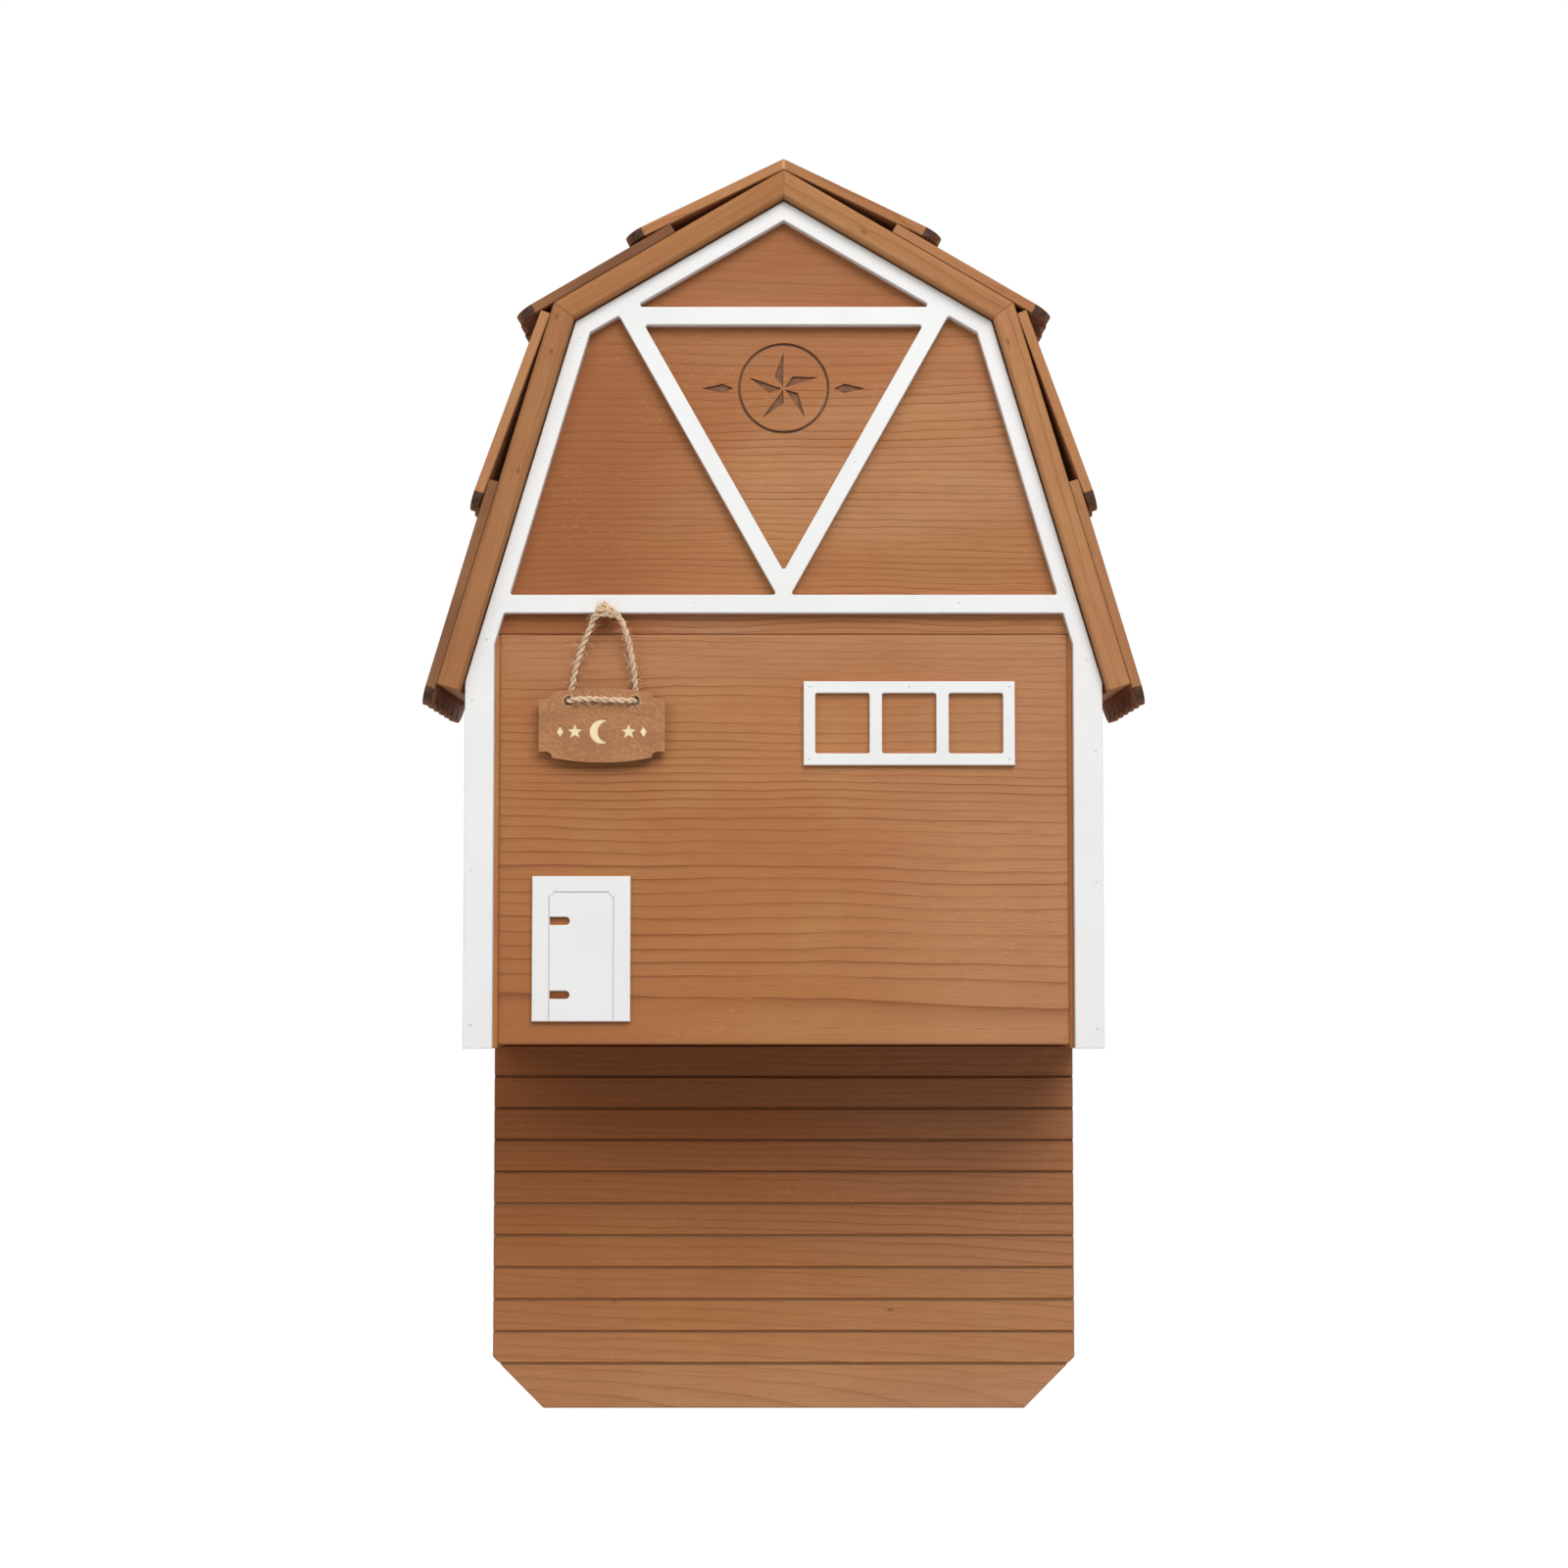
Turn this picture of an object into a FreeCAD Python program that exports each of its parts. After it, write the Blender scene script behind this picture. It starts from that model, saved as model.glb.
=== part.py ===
import FreeCAD, Part
import Sketcher
import math
import os
import re

from collections import defaultdict
from FreeCAD import Placement, Rotation, Vector

# Bat box shaped like a gambrel barn, hung on a wall.
# Heights are measured up from the foot of the landing board, depths forward from the wall.
# The origin is on the wall, midway between the two keyholes: X right, front towards -Y, Z up.

# Counts of repeated pieces
PARTITIONS = 3
SCALLOPS = 6
PANES = 3
STAR_ARMS = 5

# Driving sizes in millimetres and degrees
SIZES = {
    # Walls and back
    "body_half_width": 172.0,
    "back_half_width": 166.9,
    "wall_thickness": 18.0,
    "back_thickness": 18.0,
    "wall_foot": 210.3,
    "front_foot_rise": 2.0,
    "wall_head_gap": 25.7,
    "landing_corner": 29.1,
    "board_edge": 0.5,
    "overcut": 1.0,
    # Roosting chambers
    "chamber_depth": 16.0,
    "partition_thickness": 7.0,
    "partition_recess": 13.0,
    "partition_head_drop": 4.8,
    "partition_roof_gap": 12.0,
    "dado_depth": 5.0,
    "dado_clearance": 0.2,
    # Claw grooves
    "groove_first": 25.3,
    "groove_pitch": 18.2,
    "groove_width": 1.8,
    "groove_depth": 2.0,
    "partition_groove_depth": 1.5,
    "groove_margin": 12.0,
    # Roof boards
    "ridge_height": 686.8,
    "upper_pitch": 30.4,
    "lower_lean": 16.65,
    "shoulder_drop": 23.6,
    "eave_drop": 4.2,
    "roof_thickness": 13.0,
    "roof_overhang": 5.0,
    # Shingle strips, placed along the slope of the boards below them
    "shingle_thickness": 5.2,
    "shingle_clearance": 0.1,
    "scallop_depth": 10.5,
    "ridge_course_length": 93.3,
    "upper_course_rise": 3.955,
    "break_overhang": 21.09,
    "middle_course_gap": 0.4,
    "eave_course_lap": 18.175,
    "eave_course_rise": 6.0,
    "eave_overhang": 12.2,
    # Front trim
    "trim_thickness": 6.0,
    "trim_roof_gap": 0.8,
    "rake_band": 9.1,
    "collar_rise": 4.17,
    "collar_band": 9.8,
    "lower_bar_rise": 11.2,
    "lower_bar_band": 9.8,
    "brace_foot_rise": -1.98,
    "brace_head_gap": 22.36,
    "brace_width": 9.45,
    "side_band": 15.6,
    "router_radius": 1.3,
    "painted_edge": 0.35,
    # Window frame and door plate
    "plate_thickness": 3.0,
    "window_side_gap": 31.4,
    "window_foot": 362.7,
    "pane_width": 29.4,
    "pane_height": 32.8,
    "mullion": 6.7,
    "window_border": 6.3,
    "door_side_gap": 20.95,
    "door_rise": 14.4,
    "door_width": 52.9,
    "door_height": 78.0,
    "leaf_width": 34.0,
    "leaf_head": 8.9,
    "leaf_corner": 2.0,
    "leaf_line_width": 0.7,
    "leaf_line_depth": 0.6,
    "hinge_slot_length": 10.8,
    "hinge_slot_width": 4.4,
    "hinge_slot_first": 14.2,
    "hinge_slot_spacing": 39.7,
    # Carved barn star on the gable
    "carving_depth": 1.2,
    "star_drop": 33.8,
    "star_radius": 20.0,
    "star_waist": 8.2,
    "star_hub_gap": 0.9,
    "ring_radius": 23.5,
    "ring_width": 1.5,
    "flourish_start": 27.5,
    "flourish_length": 17.0,
    "flourish_shoulder": 5.6,
    "flourish_rise": 2.6,
    # Hanging sign
    "sign_side_gap": 24.3,
    "sign_drop": 62.6,
    "sign_width": 68.2,
    "sign_side": 28.5,
    "sign_cove": 3.2,
    "sign_cove_inset": 7.2,
    "sign_arc_rise": 2.7,
    "sign_thickness": 3.0,
    "sign_panel_gap": 0.5,
    "cord_hole_radius": 2.4,
    "cord_hole_offset": 17.8,
    "cord_hole_rise": 13.2,
    "inlay_depth": 0.4,
    "inlay_drop": 3.4,
    "moon_radius": 6.6,
    "moon_bite": 5.6,
    "moon_offset": 3.4,
    "inlay_star_radius": 4.6,
    "inlay_star_waist": 1.9,
    "inlay_star_offset": 14.5,
    "diamond_half_width": 1.9,
    "diamond_half_height": 3.0,
    "diamond_offset": 22.5,
    # Twine and its nail
    "twine_diameter": 3.0,
    "twine_clearance": 0.3,
    "nail_rise": 1.6,
    "nail_radius": 0.8,
    "nail_head_radius": 1.3,
    "nail_head_thickness": 0.8,
    "nail_grip": 9.0,
    "knot_half_length": 4.8,
    "knot_half_depth": 2.3,
    "knot_half_height": 3.4,
    "knot_offset": 7.2,
    "knot_drop": 5.4,
    "knot_tilt": 35.0,
    # Fasteners
    "hole_clearance": 0.05,
    "brad_radius": 0.75,
    "brad_length": 15.0,
    "brad_sink": 0.3,
    "brad_inset": 4.0,
    "left_post_brad_low": 12.5,
    "left_post_brad_middle": 95.5,
    "left_post_brad_drop": 36.6,
    "right_post_brad_low": 10.4,
    "right_post_brad_middle": 88.6,
    "right_post_brad_drop": 64.1,
    "left_rake_brad_drop": 3.8,
    "left_rake_brad_below_break": 19.0,
    "right_rake_brad_drop": 14.4,
    "right_rake_brad_rise": 26.8,
    "right_rake_brad_below_break": 79.3,
    "ridge_brad_offset": 4.8,
    "brace_brad_drop": 8.65,
    "left_bar_brad": 48.6,
    "right_bar_brad": 94.6,
    "window_brad_radius": 0.6,
    "window_brad_length": 12.0,
    "window_brad_inset": 3.1,
    "screw_radius": 2.0,
    "screw_head_radius": 3.9,
    "screw_length": 38.0,
    "screw_margin": 28.0,
    "screw_drop": 42.0,
    "roof_nail_radius": 1.4,
    "roof_nail_length": 32.0,
    "roof_nail_margin": 26.0,
    "roof_nail_lower_shift": 9.06,
    "shingle_brad_radius": 0.9,
    "shingle_brad_length": 12.0,
    "shingle_brad_setback": 12.0,
    "shingle_brad_margin": 25.0,
    # Keyhole hangers
    "hanger_drop": 3.88,
    "hanger_inset": 2.6,
    "hanger_width": 20.0,
    "hanger_length": 50.0,
    "hanger_rise": 4.0,
    "hanger_thickness": 1.6,
    "hanger_clearance": 0.2,
    "keyhole_radius": 4.5,
    "keyhole_slot_width": 5.0,
    "keyhole_slot_rise": 11.0,
    "keyhole_pocket_depth": 9.0,
    "keyhole_pocket_margin": 2.5,
    "hanger_screw_offset": 19.5,
    "hanger_screw_radius": 1.6,
    "hanger_screw_head": 3.0,
    "hanger_screw_length": 12.0,
}

# Heights of the brads in the side bars and the rakes, by side
POST_BRADS = {
    -1: ("wall_foot + left_post_brad_low", "wall_foot + left_post_brad_middle",
         "wall_top - left_post_brad_drop"),
    1: ("wall_foot + right_post_brad_low", "wall_foot + right_post_brad_middle",
        "wall_top - right_post_brad_drop"),
}
RAKE_BRADS = {
    -1: ("wall_top - left_rake_brad_drop", "break_height - left_rake_brad_below_break"),
    1: ("wall_top - right_rake_brad_drop", "wall_top + right_rake_brad_rise",
        "break_height - right_rake_brad_below_break"),
}

# Middle of the rakes, measured in from the roof's outer faces
BAND_MIDDLE = "trim_outline + rake_band / 2"


# Formulas of the barn outline

def ridge_at(inset):
    """Height of the ridge of the barn outline, drawn inside the roof's outer faces by inset."""
    return f"(ridge_height - ({inset}) / cos(upper_pitch))"


def break_x(inset):
    """Half width of that outline where its slope breaks."""
    return f"(break_half_width - ({inset}) * break_shift)"


def break_z(inset):
    """Height of that outline where its slope breaks."""
    return f"(break_height - ({inset}) * break_fall)"


def slope_x(inset, height):
    """Half width of that outline at a height below the break."""
    return f"({break_x(inset)} + ({break_z(inset)} - ({height})) * tan(lower_lean))"


def slope_z(inset, half_width):
    """Height at which that outline's lower slope has a half width."""
    return f"({break_z(inset)} - (({half_width}) - {break_x(inset)}) / tan(lower_lean))"


# Sizes that follow from the driving ones
FORMULAS = {
    "window_height": "pane_height + 2 * window_border",
    "wall_top": "window_foot + window_height + wall_head_gap",
    "shoulder_height": "wall_top - shoulder_drop",
    "break_shift": "(sin(upper_pitch) + cos(lower_lean)) / (1 + sin(upper_pitch + lower_lean))",
    "break_fall": "(cos(upper_pitch) + sin(lower_lean)) / (1 + sin(upper_pitch + lower_lean))",
    "break_half_width": "(body_half_width + roof_thickness * break_shift"
    " - (ridge_height - roof_thickness * break_fall - shoulder_height) * tan(lower_lean))"
    " / (1 - tan(upper_pitch) * tan(lower_lean))",
    "break_height": "ridge_height - break_half_width * tan(upper_pitch)",
    "upper_board_length": "break_half_width / cos(upper_pitch)",
    "lower_board_length": "(break_height - shoulder_height + eave_drop) / cos(lower_lean)",
    "side_inner": "body_half_width - wall_thickness",
    "partition_pitch": "chamber_depth + partition_thickness",
    "interior_depth": f"{PARTITIONS} * partition_pitch + chamber_depth",
    "front_inner": "back_thickness + interior_depth",
    "front_face": "front_inner + wall_thickness",
    "trim_face": "front_face + trim_thickness",
    "roof_length": "trim_face + roof_overhang",
    "partition_foot": "wall_foot + partition_recess",
    "partition_top": break_z("roof_thickness + partition_roof_gap") + " - partition_head_drop",
    "trim_outline": "roof_thickness + trim_roof_gap",
    "trim_inline": "trim_outline + rake_band",
    "collar_bottom": break_z("trim_inline") + " + collar_rise",
    "collar_top": "collar_bottom + collar_band",
    "lower_bar_bottom": "wall_top + lower_bar_rise",
    "lower_bar_top": "lower_bar_bottom + lower_bar_band",
    "side_bar_inner": "body_half_width - side_band",
    "brace_crotch": "lower_bar_top + (collar_bottom - lower_bar_top) / 10 + brace_foot_rise",
    "brace_head": "(" + ridge_at("trim_inline") + " - collar_bottom) / tan(upper_pitch) - brace_head_gap",
    "brace_lean": "atan(brace_head / (collar_bottom - brace_crotch))",
    "brace_reach": "brace_width / cos(brace_lean)",
    "scallop_pitch": f"roof_length / {SCALLOPS}",
    "scallop_radius": "((scallop_pitch / 2)^2 + scallop_depth^2) / (2 * scallop_depth)",
    "course_step": "shingle_thickness + 2 * shingle_clearance",
    "upper_course_start": "upper_board_length / 2 - upper_course_rise",
    "upper_course_length": "upper_board_length + break_overhang - upper_course_start",
    "ridge_course_pitch": "upper_pitch * 1 deg - atan(course_step / upper_course_start)",
    "middle_course_start": "(shingle_thickness + 3 * shingle_clearance)"
    " * (sin(lower_lean) + cos(lower_lean) * tan(upper_pitch))"
    " / (cos(lower_lean) - sin(lower_lean) * tan(upper_pitch)) + middle_course_gap",
    "middle_course_length": "eave_course_start + eave_course_lap - middle_course_start",
    "eave_course_start": "lower_board_length / 2 - eave_course_rise",
    "eave_course_length": "lower_board_length + eave_overhang - eave_course_start",
    "middle_course_lean": "lower_lean * 1 deg"
    " + atan(course_step / (eave_course_start - middle_course_start))",
    "window_width": f"{PANES} * pane_width + {PANES - 1} * mullion + 2 * window_border",
    "window_centre": "side_bar_inner - window_side_gap - window_width / 2",
    "door_centre": "-(side_bar_inner - door_side_gap - door_width / 2)",
    "door_foot": "wall_foot + door_rise",
    "plate_face": "front_face + plate_thickness",
    "star_height": "collar_bottom - star_drop",
    "twine_radius": "twine_diameter / 2",
    "nail_height": "lower_bar_bottom + nail_rise",
    "sign_centre": "-(side_bar_inner - sign_side_gap - sign_width / 2)",
    "sign_middle": "nail_height - sign_drop",
    "sign_back": "front_face + sign_panel_gap + twine_diameter + twine_clearance",
    "sign_face": "sign_back + sign_thickness",
    "cord_hole_height": "sign_middle + cord_hole_rise",
    "twine_nail_depth": "trim_face + twine_clearance + twine_radius",
    "twine_back_depth": "sign_back - twine_clearance - twine_radius",
    "twine_front_depth": "sign_face + twine_clearance + twine_radius",
    "hanger_height": "wall_top + (break_height - wall_top) * 2 / 3 - hanger_drop",
    "hanger_half_spacing": slope_x("roof_thickness", "hanger_height") + " * 4 / 5 - hanger_inset",
    "hanger_middle": "hanger_height + hanger_rise",
}

doc = FreeCAD.newDocument("bat_box")
sheet = doc.addObject("Spreadsheet::Sheet", "Sizes")
for row, (name, number) in enumerate(SIZES.items(), start=1):
    sheet.set(f"A{row}", name)
    sheet.set(f"B{row}", str(number))
    sheet.setAlias(f"B{row}", name)
doc.recompute()

nodes = []


# Expressions

def bind(formula):
    """Write a formula of named sizes as an expression that reads the sheet."""
    def cell(match):
        word = match.group(0)
        if word in FORMULAS:
            return "(" + bind(FORMULAS[word]) + ")"
        if word in SIZES:
            return "Sizes." + word
        return word
    return re.sub(r"[a-z][a-z0-9_]*", cell, formula)


def value(formula):
    """Work a formula out as a number."""
    result = sheet.evalExpression(bind(formula))
    return float(getattr(result, "Value", result))


def mirrored(corners):
    """Corners of the right half, in order, followed by their mirror images."""
    left = [(f"-({x})", z) for x, z in reversed(corners) if x != "0"]
    return corners + left


# Bodies and sketches

def new_body(label, depth="0"):
    """Start a body whose drawing plane stands at a depth in front of the wall."""
    body = doc.addObject("PartDesign::Body", label)
    body.setExpression("Placement.Base.y", bind(f"-({depth})"))
    body.setExpression("Placement.Base.z", bind("-hanger_height"))
    return body


def new_sketch(body, name, offset="0", role="XZ_Plane"):
    """Add a sketch on one of the body's own origin planes, moved along its normal."""
    plane = next(item for item in body.Origin.OriginFeatures if item.Role == role)
    sketch = body.newObject("Sketcher::SketchObject", f"{body.Name}_{name}")
    sketch.AttachmentSupport = (plane, [""])
    sketch.MapMode = "FlatFace"
    sketch.setExpression("AttachmentOffset.Base.z", bind(offset))
    return sketch


def fix_along(sketch, geometry, point, kind, formula):
    """Tie one coordinate of a point of the sketch to a formula."""
    number = sketch.addConstraint(Sketcher.Constraint(kind, -1, 1, geometry, point, value(formula)))
    sketch.setExpression(f"Constraints[{number}]", bind(formula))


def fix_point(sketch, geometry, point, place):
    """Tie a point of the sketch to a pair of formulas."""
    fix_along(sketch, geometry, point, "DistanceX", place[0])
    fix_along(sketch, geometry, point, "DistanceY", place[1])


def fix_radius(sketch, geometry, formula):
    """Tie the radius of an arc or circle to a formula."""
    number = sketch.addConstraint(Sketcher.Constraint("Radius", geometry, value(formula)))
    sketch.setExpression(f"Constraints[{number}]", bind(formula))


def arc_between(start, end, radius, bulge):
    """Arc that bulges to the left (1) or right (-1) of the way from start to end."""
    chord = end - start
    half = chord.Length / 2
    reach = half if radius == "half" else value(radius)
    rise = reach - math.sqrt(max(reach * reach - half * half, 0.0))
    middle = (start + end) / 2 + Vector(-chord.y, chord.x, 0).normalize() * rise * bulge
    return Part.Arc(end, middle, start) if bulge > 0 else Part.Arc(start, middle, end)


def draw_outline(sketch, corners, arcs=None):
    """Close an outline through corners.

    arcs gives a radius, or "half" for a half circle, and the bulge of the side that leaves a corner.
    """
    arcs = arcs or {}
    points = [Vector(value(x), value(z), 0) for x, z in corners]
    count = len(points)
    first = sketch.GeometryCount
    ends = []
    for index, start in enumerate(points):
        end = points[(index + 1) % count]
        if index in arcs:
            radius, bulge = arcs[index]
            sketch.addGeometry(arc_between(start, end, radius, bulge))
            ends.append((2, 1) if bulge > 0 else (1, 2))
        else:
            sketch.addGeometry(Part.LineSegment(start, end))
            ends.append((1, 2))
    for index in range(count):
        following = (index + 1) % count
        join = (first + index, ends[index][1], first + following, ends[following][0])
        sketch.addConstraint(Sketcher.Constraint("Coincident", *join))
        fix_point(sketch, first + index, ends[index][0], corners[index])
        if index not in arcs:
            continue
        chord = points[following] - points[index]
        if arcs[index][0] != "half":
            fix_radius(sketch, first + index, arcs[index][0])
        elif abs(chord.x) > abs(chord.y):
            fix_along(sketch, first + index, 3, "DistanceY", corners[index][1])
        else:
            fix_along(sketch, first + index, 3, "DistanceX", corners[index][0])


def draw_circle(sketch, x, z, radius):
    """Add a circle of a given centre and radius."""
    centre = Vector(value(x), value(z), 0)
    circle = sketch.addGeometry(Part.Circle(centre, Vector(0, 0, 1), value(radius)))
    fix_point(sketch, circle, 3, (x, z))
    fix_radius(sketch, circle, radius)


def draw_box(sketch, left, right, bottom, top):
    """Add a rectangle between two sides and two heights."""
    draw_outline(sketch, [(left, bottom), (right, bottom), (right, top), (left, top)])


def add_pad(body, sketch, length, reverse=False):
    """Raise a sketch by a length, along its normal unless reversed."""
    pad = body.newObject("PartDesign::Pad", f"{sketch.Name}_pad")
    pad.Profile = sketch
    pad.Reversed = reverse
    pad.setExpression("Length", bind(length))
    doc.recompute()
    return pad


def add_pocket(body, sketch, depth, reverse=False):
    """Cut a sketch into the body, against its normal unless reversed, and check that it removes wood."""
    before = body.Shape.Volume
    pocket = body.newObject("PartDesign::Pocket", f"{sketch.Name}_pocket")
    pocket.Profile = sketch
    pocket.Reversed = reverse
    pocket.setExpression("Length", bind(depth))
    doc.recompute()
    if not body.Shape.Volume < before:
        raise ValueError(f"{pocket.Name} removes nothing")
    return pocket


def add_pattern(body, feature, sketch, pitch, copies):
    """Repeat a feature upwards at a pitch."""
    pattern = body.newObject("PartDesign::LinearPattern", f"{feature.Name}_row")
    pattern.Originals = [feature]
    pattern.Direction = (sketch, ["V_Axis"])
    pattern.Mode = "Spacing"
    pattern.setExpression("Offset", bind(pitch))
    pattern.Occurrences = copies
    body.Tip = pattern
    doc.recompute()
    return pattern


def ease_edges(body, size, wanted=None):
    """Chamfer the edges of the body that pass the test, or all of them."""
    base = body.Tip
    names = []
    for number, edge in enumerate(base.Shape.Edges, start=1):
        if wanted is None or wanted(edge):
            names.append(f"Edge{number}")
    chamfer = body.newObject("PartDesign::Chamfer", f"{body.Name}_eased")
    chamfer.Base = (base, names)
    chamfer.setExpression("Size", bind(size))
    doc.recompute()
    return chamfer


def round_corners(body, radius, sharp):
    """Round the edges that run from back to front, except those at the corners that stay sharp."""
    base = body.Tip
    kept = [(value(x), value(z)) for x, z in sharp]
    names = []
    for number, edge in enumerate(base.Shape.Edges, start=1):
        start = edge.Vertexes[0].Point
        end = edge.Vertexes[-1].Point
        runs_in_depth = math.hypot(start.x - end.x, start.z - end.z) < 1e-3
        if runs_in_depth and min(math.hypot(start.x - x, start.z - z) for x, z in kept) > 1e-3:
            names.append(f"Edge{number}")
    fillet = body.newObject("PartDesign::Fillet", f"{body.Name}_rounded")
    fillet.Base = (base, names)
    fillet.setExpression("Radius", bind(radius))
    doc.recompute()
    return fillet


def ease_front(body, size, thickness):
    """Chamfer the edges of the front face alone."""
    depth = -value(thickness)
    ease_edges(body, size, lambda edge: max(abs(edge.BoundBox.YMin - depth),
                                            abs(edge.BoundBox.YMax - depth)) < 1e-3)


def slat(label, corners, depth, thickness, edge="board_edge"):
    """Board with an outline in the wall's plane, its rear face at a depth, with eased edges."""
    body = new_body(label, depth)
    sketch = new_sketch(body, "outline")
    draw_outline(sketch, corners)
    add_pad(body, sketch, thickness)
    ease_edges(body, edge)
    return body


def cut_grooves(body, half_width, first, face, depth, copies):
    """Saw level grooves into the face of a board, one above the other."""
    sketch = new_sketch(body, "groove", offset=face)
    draw_box(sketch, f"-({half_width}) - overcut", f"({half_width}) + overcut",
             f"({first}) - groove_width / 2", f"({first}) + groove_width / 2")
    groove = add_pocket(body, sketch, depth)
    add_pattern(body, groove, sketch, "groove_pitch", copies)


def grooves_between(first, top):
    """How many grooves fit from the first one up to a height, with a margin."""
    return int((value(top) - value("groove_margin") - value(first)) / value("groove_pitch")) + 1


# Fasteners

DIRECTIONS = {
    "front": (Vector(1, 0, 0), "90"),
    "rear": (Vector(-1, 0, 0), "90"),
    "right": (Vector(0, 1, 0), "90"),
    "left": (Vector(0, -1, 0), "90"),
}


def place_along(item, place, direction):
    """Stand a primitive at a place (x, depth, height), with its axis turned to a direction."""
    axis, angle = DIRECTIONS[direction] if isinstance(direction, str) else direction
    item.Placement = Placement(Vector(), Rotation(axis, value(angle)))
    item.setExpression("Placement.Rotation.Angle", bind(angle))
    item.setExpression("Placement.Base.x", bind(place[0]))
    item.setExpression("Placement.Base.y", bind(f"-({place[1]})"))
    item.setExpression("Placement.Base.z", bind(f"({place[2]}) - hanger_height"))


def pin(name, radius, length, place, direction):
    """Plain round pin."""
    item = doc.addObject("Part::Cylinder", name)
    item.setExpression("Radius", bind(radius))
    item.setExpression("Height", bind(length))
    place_along(item, place, direction)
    return item


def screw(name, head, radius, length, place, direction, extra="0"):
    """Countersunk screw that points in a direction from its flush head."""
    cone = doc.addObject("Part::Cone", f"{name}_head")
    cone.setExpression("Radius1", bind(f"{head} + {extra}"))
    cone.setExpression("Radius2", bind(f"{radius} + {extra}"))
    cone.setExpression("Height", bind(f"{head} - {radius}"))
    place_along(cone, place, direction)
    shank = pin(f"{name}_shank", f"{radius} + {extra}", f"{length} + {extra}", place, direction)
    item = doc.addObject("Part::Fuse", name)
    item.Base = cone
    item.Tool = shank
    return item


def group(label, items):
    """Like fasteners kept together as separate solids."""
    compound = doc.addObject("Part::Compound", label)
    compound.Links = items
    return compound


def drill(board, tools, label):
    """Cut the fasteners' holes in a board."""
    if not tools:
        return board
    cut = doc.addObject("Part::Cut", label)
    cut.Base = board
    cut.Tool = tools[0] if len(tools) == 1 else group(f"{label}_holes", tools)
    return cut


def keep(item, label):
    """Name an object as a finished piece."""
    item.Label = label
    nodes.append(item)
    return item


# Outlines of the barn shape

def barn_outline(inset, foot):
    """Barn outline from a level foot up to the ridge, drawn inside the roof by inset."""
    return mirrored([
        (slope_x(inset, foot), foot),
        (break_x(inset), break_z(inset)),
        ("0", ridge_at(inset)),
    ])


# Holes to drill in each board, and the boards before drilling
holes = defaultdict(list)
boards = {}


# Back panels

def make_back():
    """Lower back panel with the landing board, and the barn-shaped panel above it."""
    corners = mirrored([
        ("back_half_width - landing_corner", "0"),
        ("back_half_width", "landing_corner"),
        ("back_half_width", slope_z("roof_thickness", "back_half_width")),
        (slope_x("roof_thickness", "wall_top"), "wall_top"),
    ])
    lower = slat("back_panel_lower_board", corners, "0", "back_thickness")
    copies = grooves_between("groove_first", "wall_top")
    cut_grooves(lower, "back_half_width", "groove_first", "back_thickness", "groove_depth", copies)
    boards["back_panel_lower"] = lower

    upper = slat("back_panel_upper_board", barn_outline("roof_thickness", "wall_top"), "0", "back_thickness")
    for side in (-1, 1):
        cut_hanger_seat(upper, side)
    boards["back_panel_upper"] = upper


def cut_hanger_seat(body, side):
    """Sink a seat for a hanger plate into the rear face, with room behind its keyhole for a screw head."""
    centre = f"{side} * hanger_half_spacing"
    seat = new_sketch(body, f"seat_{side + 1}")
    draw_stadium(seat, centre, "hanger_middle", "hanger_width / 2 + hanger_clearance",
                 "hanger_length / 2 + hanger_clearance")
    add_pocket(body, seat, "hanger_thickness", reverse=True)
    pocket = new_sketch(body, f"pocket_{side + 1}")
    reach = "keyhole_radius + keyhole_pocket_margin"
    draw_box(pocket, f"{centre} - ({reach})", f"{centre} + {reach}", f"hanger_height - ({reach})",
             f"hanger_height + keyhole_slot_rise + {reach}")
    add_pocket(body, pocket, "keyhole_pocket_depth", reverse=True)


def draw_stadium(sketch, x, z, radius, half_length):
    """Upright slot with round ends."""
    low = f"{z} - ({half_length}) + {radius}"
    high = f"{z} + {half_length} - ({radius})"
    corners = [
        (f"{x} + {radius}", low),
        (f"{x} + {radius}", high),
        (f"{x} - ({radius})", high),
        (f"{x} - ({radius})", low),
    ]
    draw_outline(sketch, corners, {1: ("half", -1), 3: ("half", -1)})


# Walls and partitions

def make_sides():
    """Side panels, their tops bevelled to the roof, with a dado for each partition."""
    for side, label in ((-1, "side_panel_left"), (1, "side_panel_right")):
        corners = [
            (f"{side} * side_inner", "wall_foot"),
            (f"{side} * body_half_width", "wall_foot"),
            (f"{side} * body_half_width", slope_z("roof_thickness", "body_half_width")),
            (f"{side} * {slope_x('roof_thickness', 'wall_top')}", "wall_top"),
            (f"{side} * side_inner", "wall_top"),
        ]
        body = slat(f"{label}_board", corners, "back_thickness", "front_face - back_thickness")
        dado = new_sketch(body, "dado", offset="wall_top", role="XY_Plane")
        for number in range(PARTITIONS):
            rear = f"chamber_depth + {number} * partition_pitch - dado_clearance"
            front = f"chamber_depth + {number} * partition_pitch + partition_thickness + dado_clearance"
            draw_box(dado, f"{side} * (side_inner - overcut)", f"{side} * (side_inner + dado_depth)",
                     f"-({front})", f"-({rear})")
        add_pocket(body, dado, "wall_top - partition_foot + dado_clearance")
        boards[label] = body


def make_front():
    """Front panel between the sides, and the gable board above them."""
    corners = mirrored([("side_inner", "wall_foot + front_foot_rise"), ("side_inner", "wall_top")])
    boards["front_panel"] = slat("front_panel_board", corners, "front_inner", "wall_thickness")
    gable = slat("gable_board_blank", barn_outline("roof_thickness", "wall_top"), "front_inner",
                 "wall_thickness")
    carve_star(gable)
    boards["gable_board"] = gable


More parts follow.
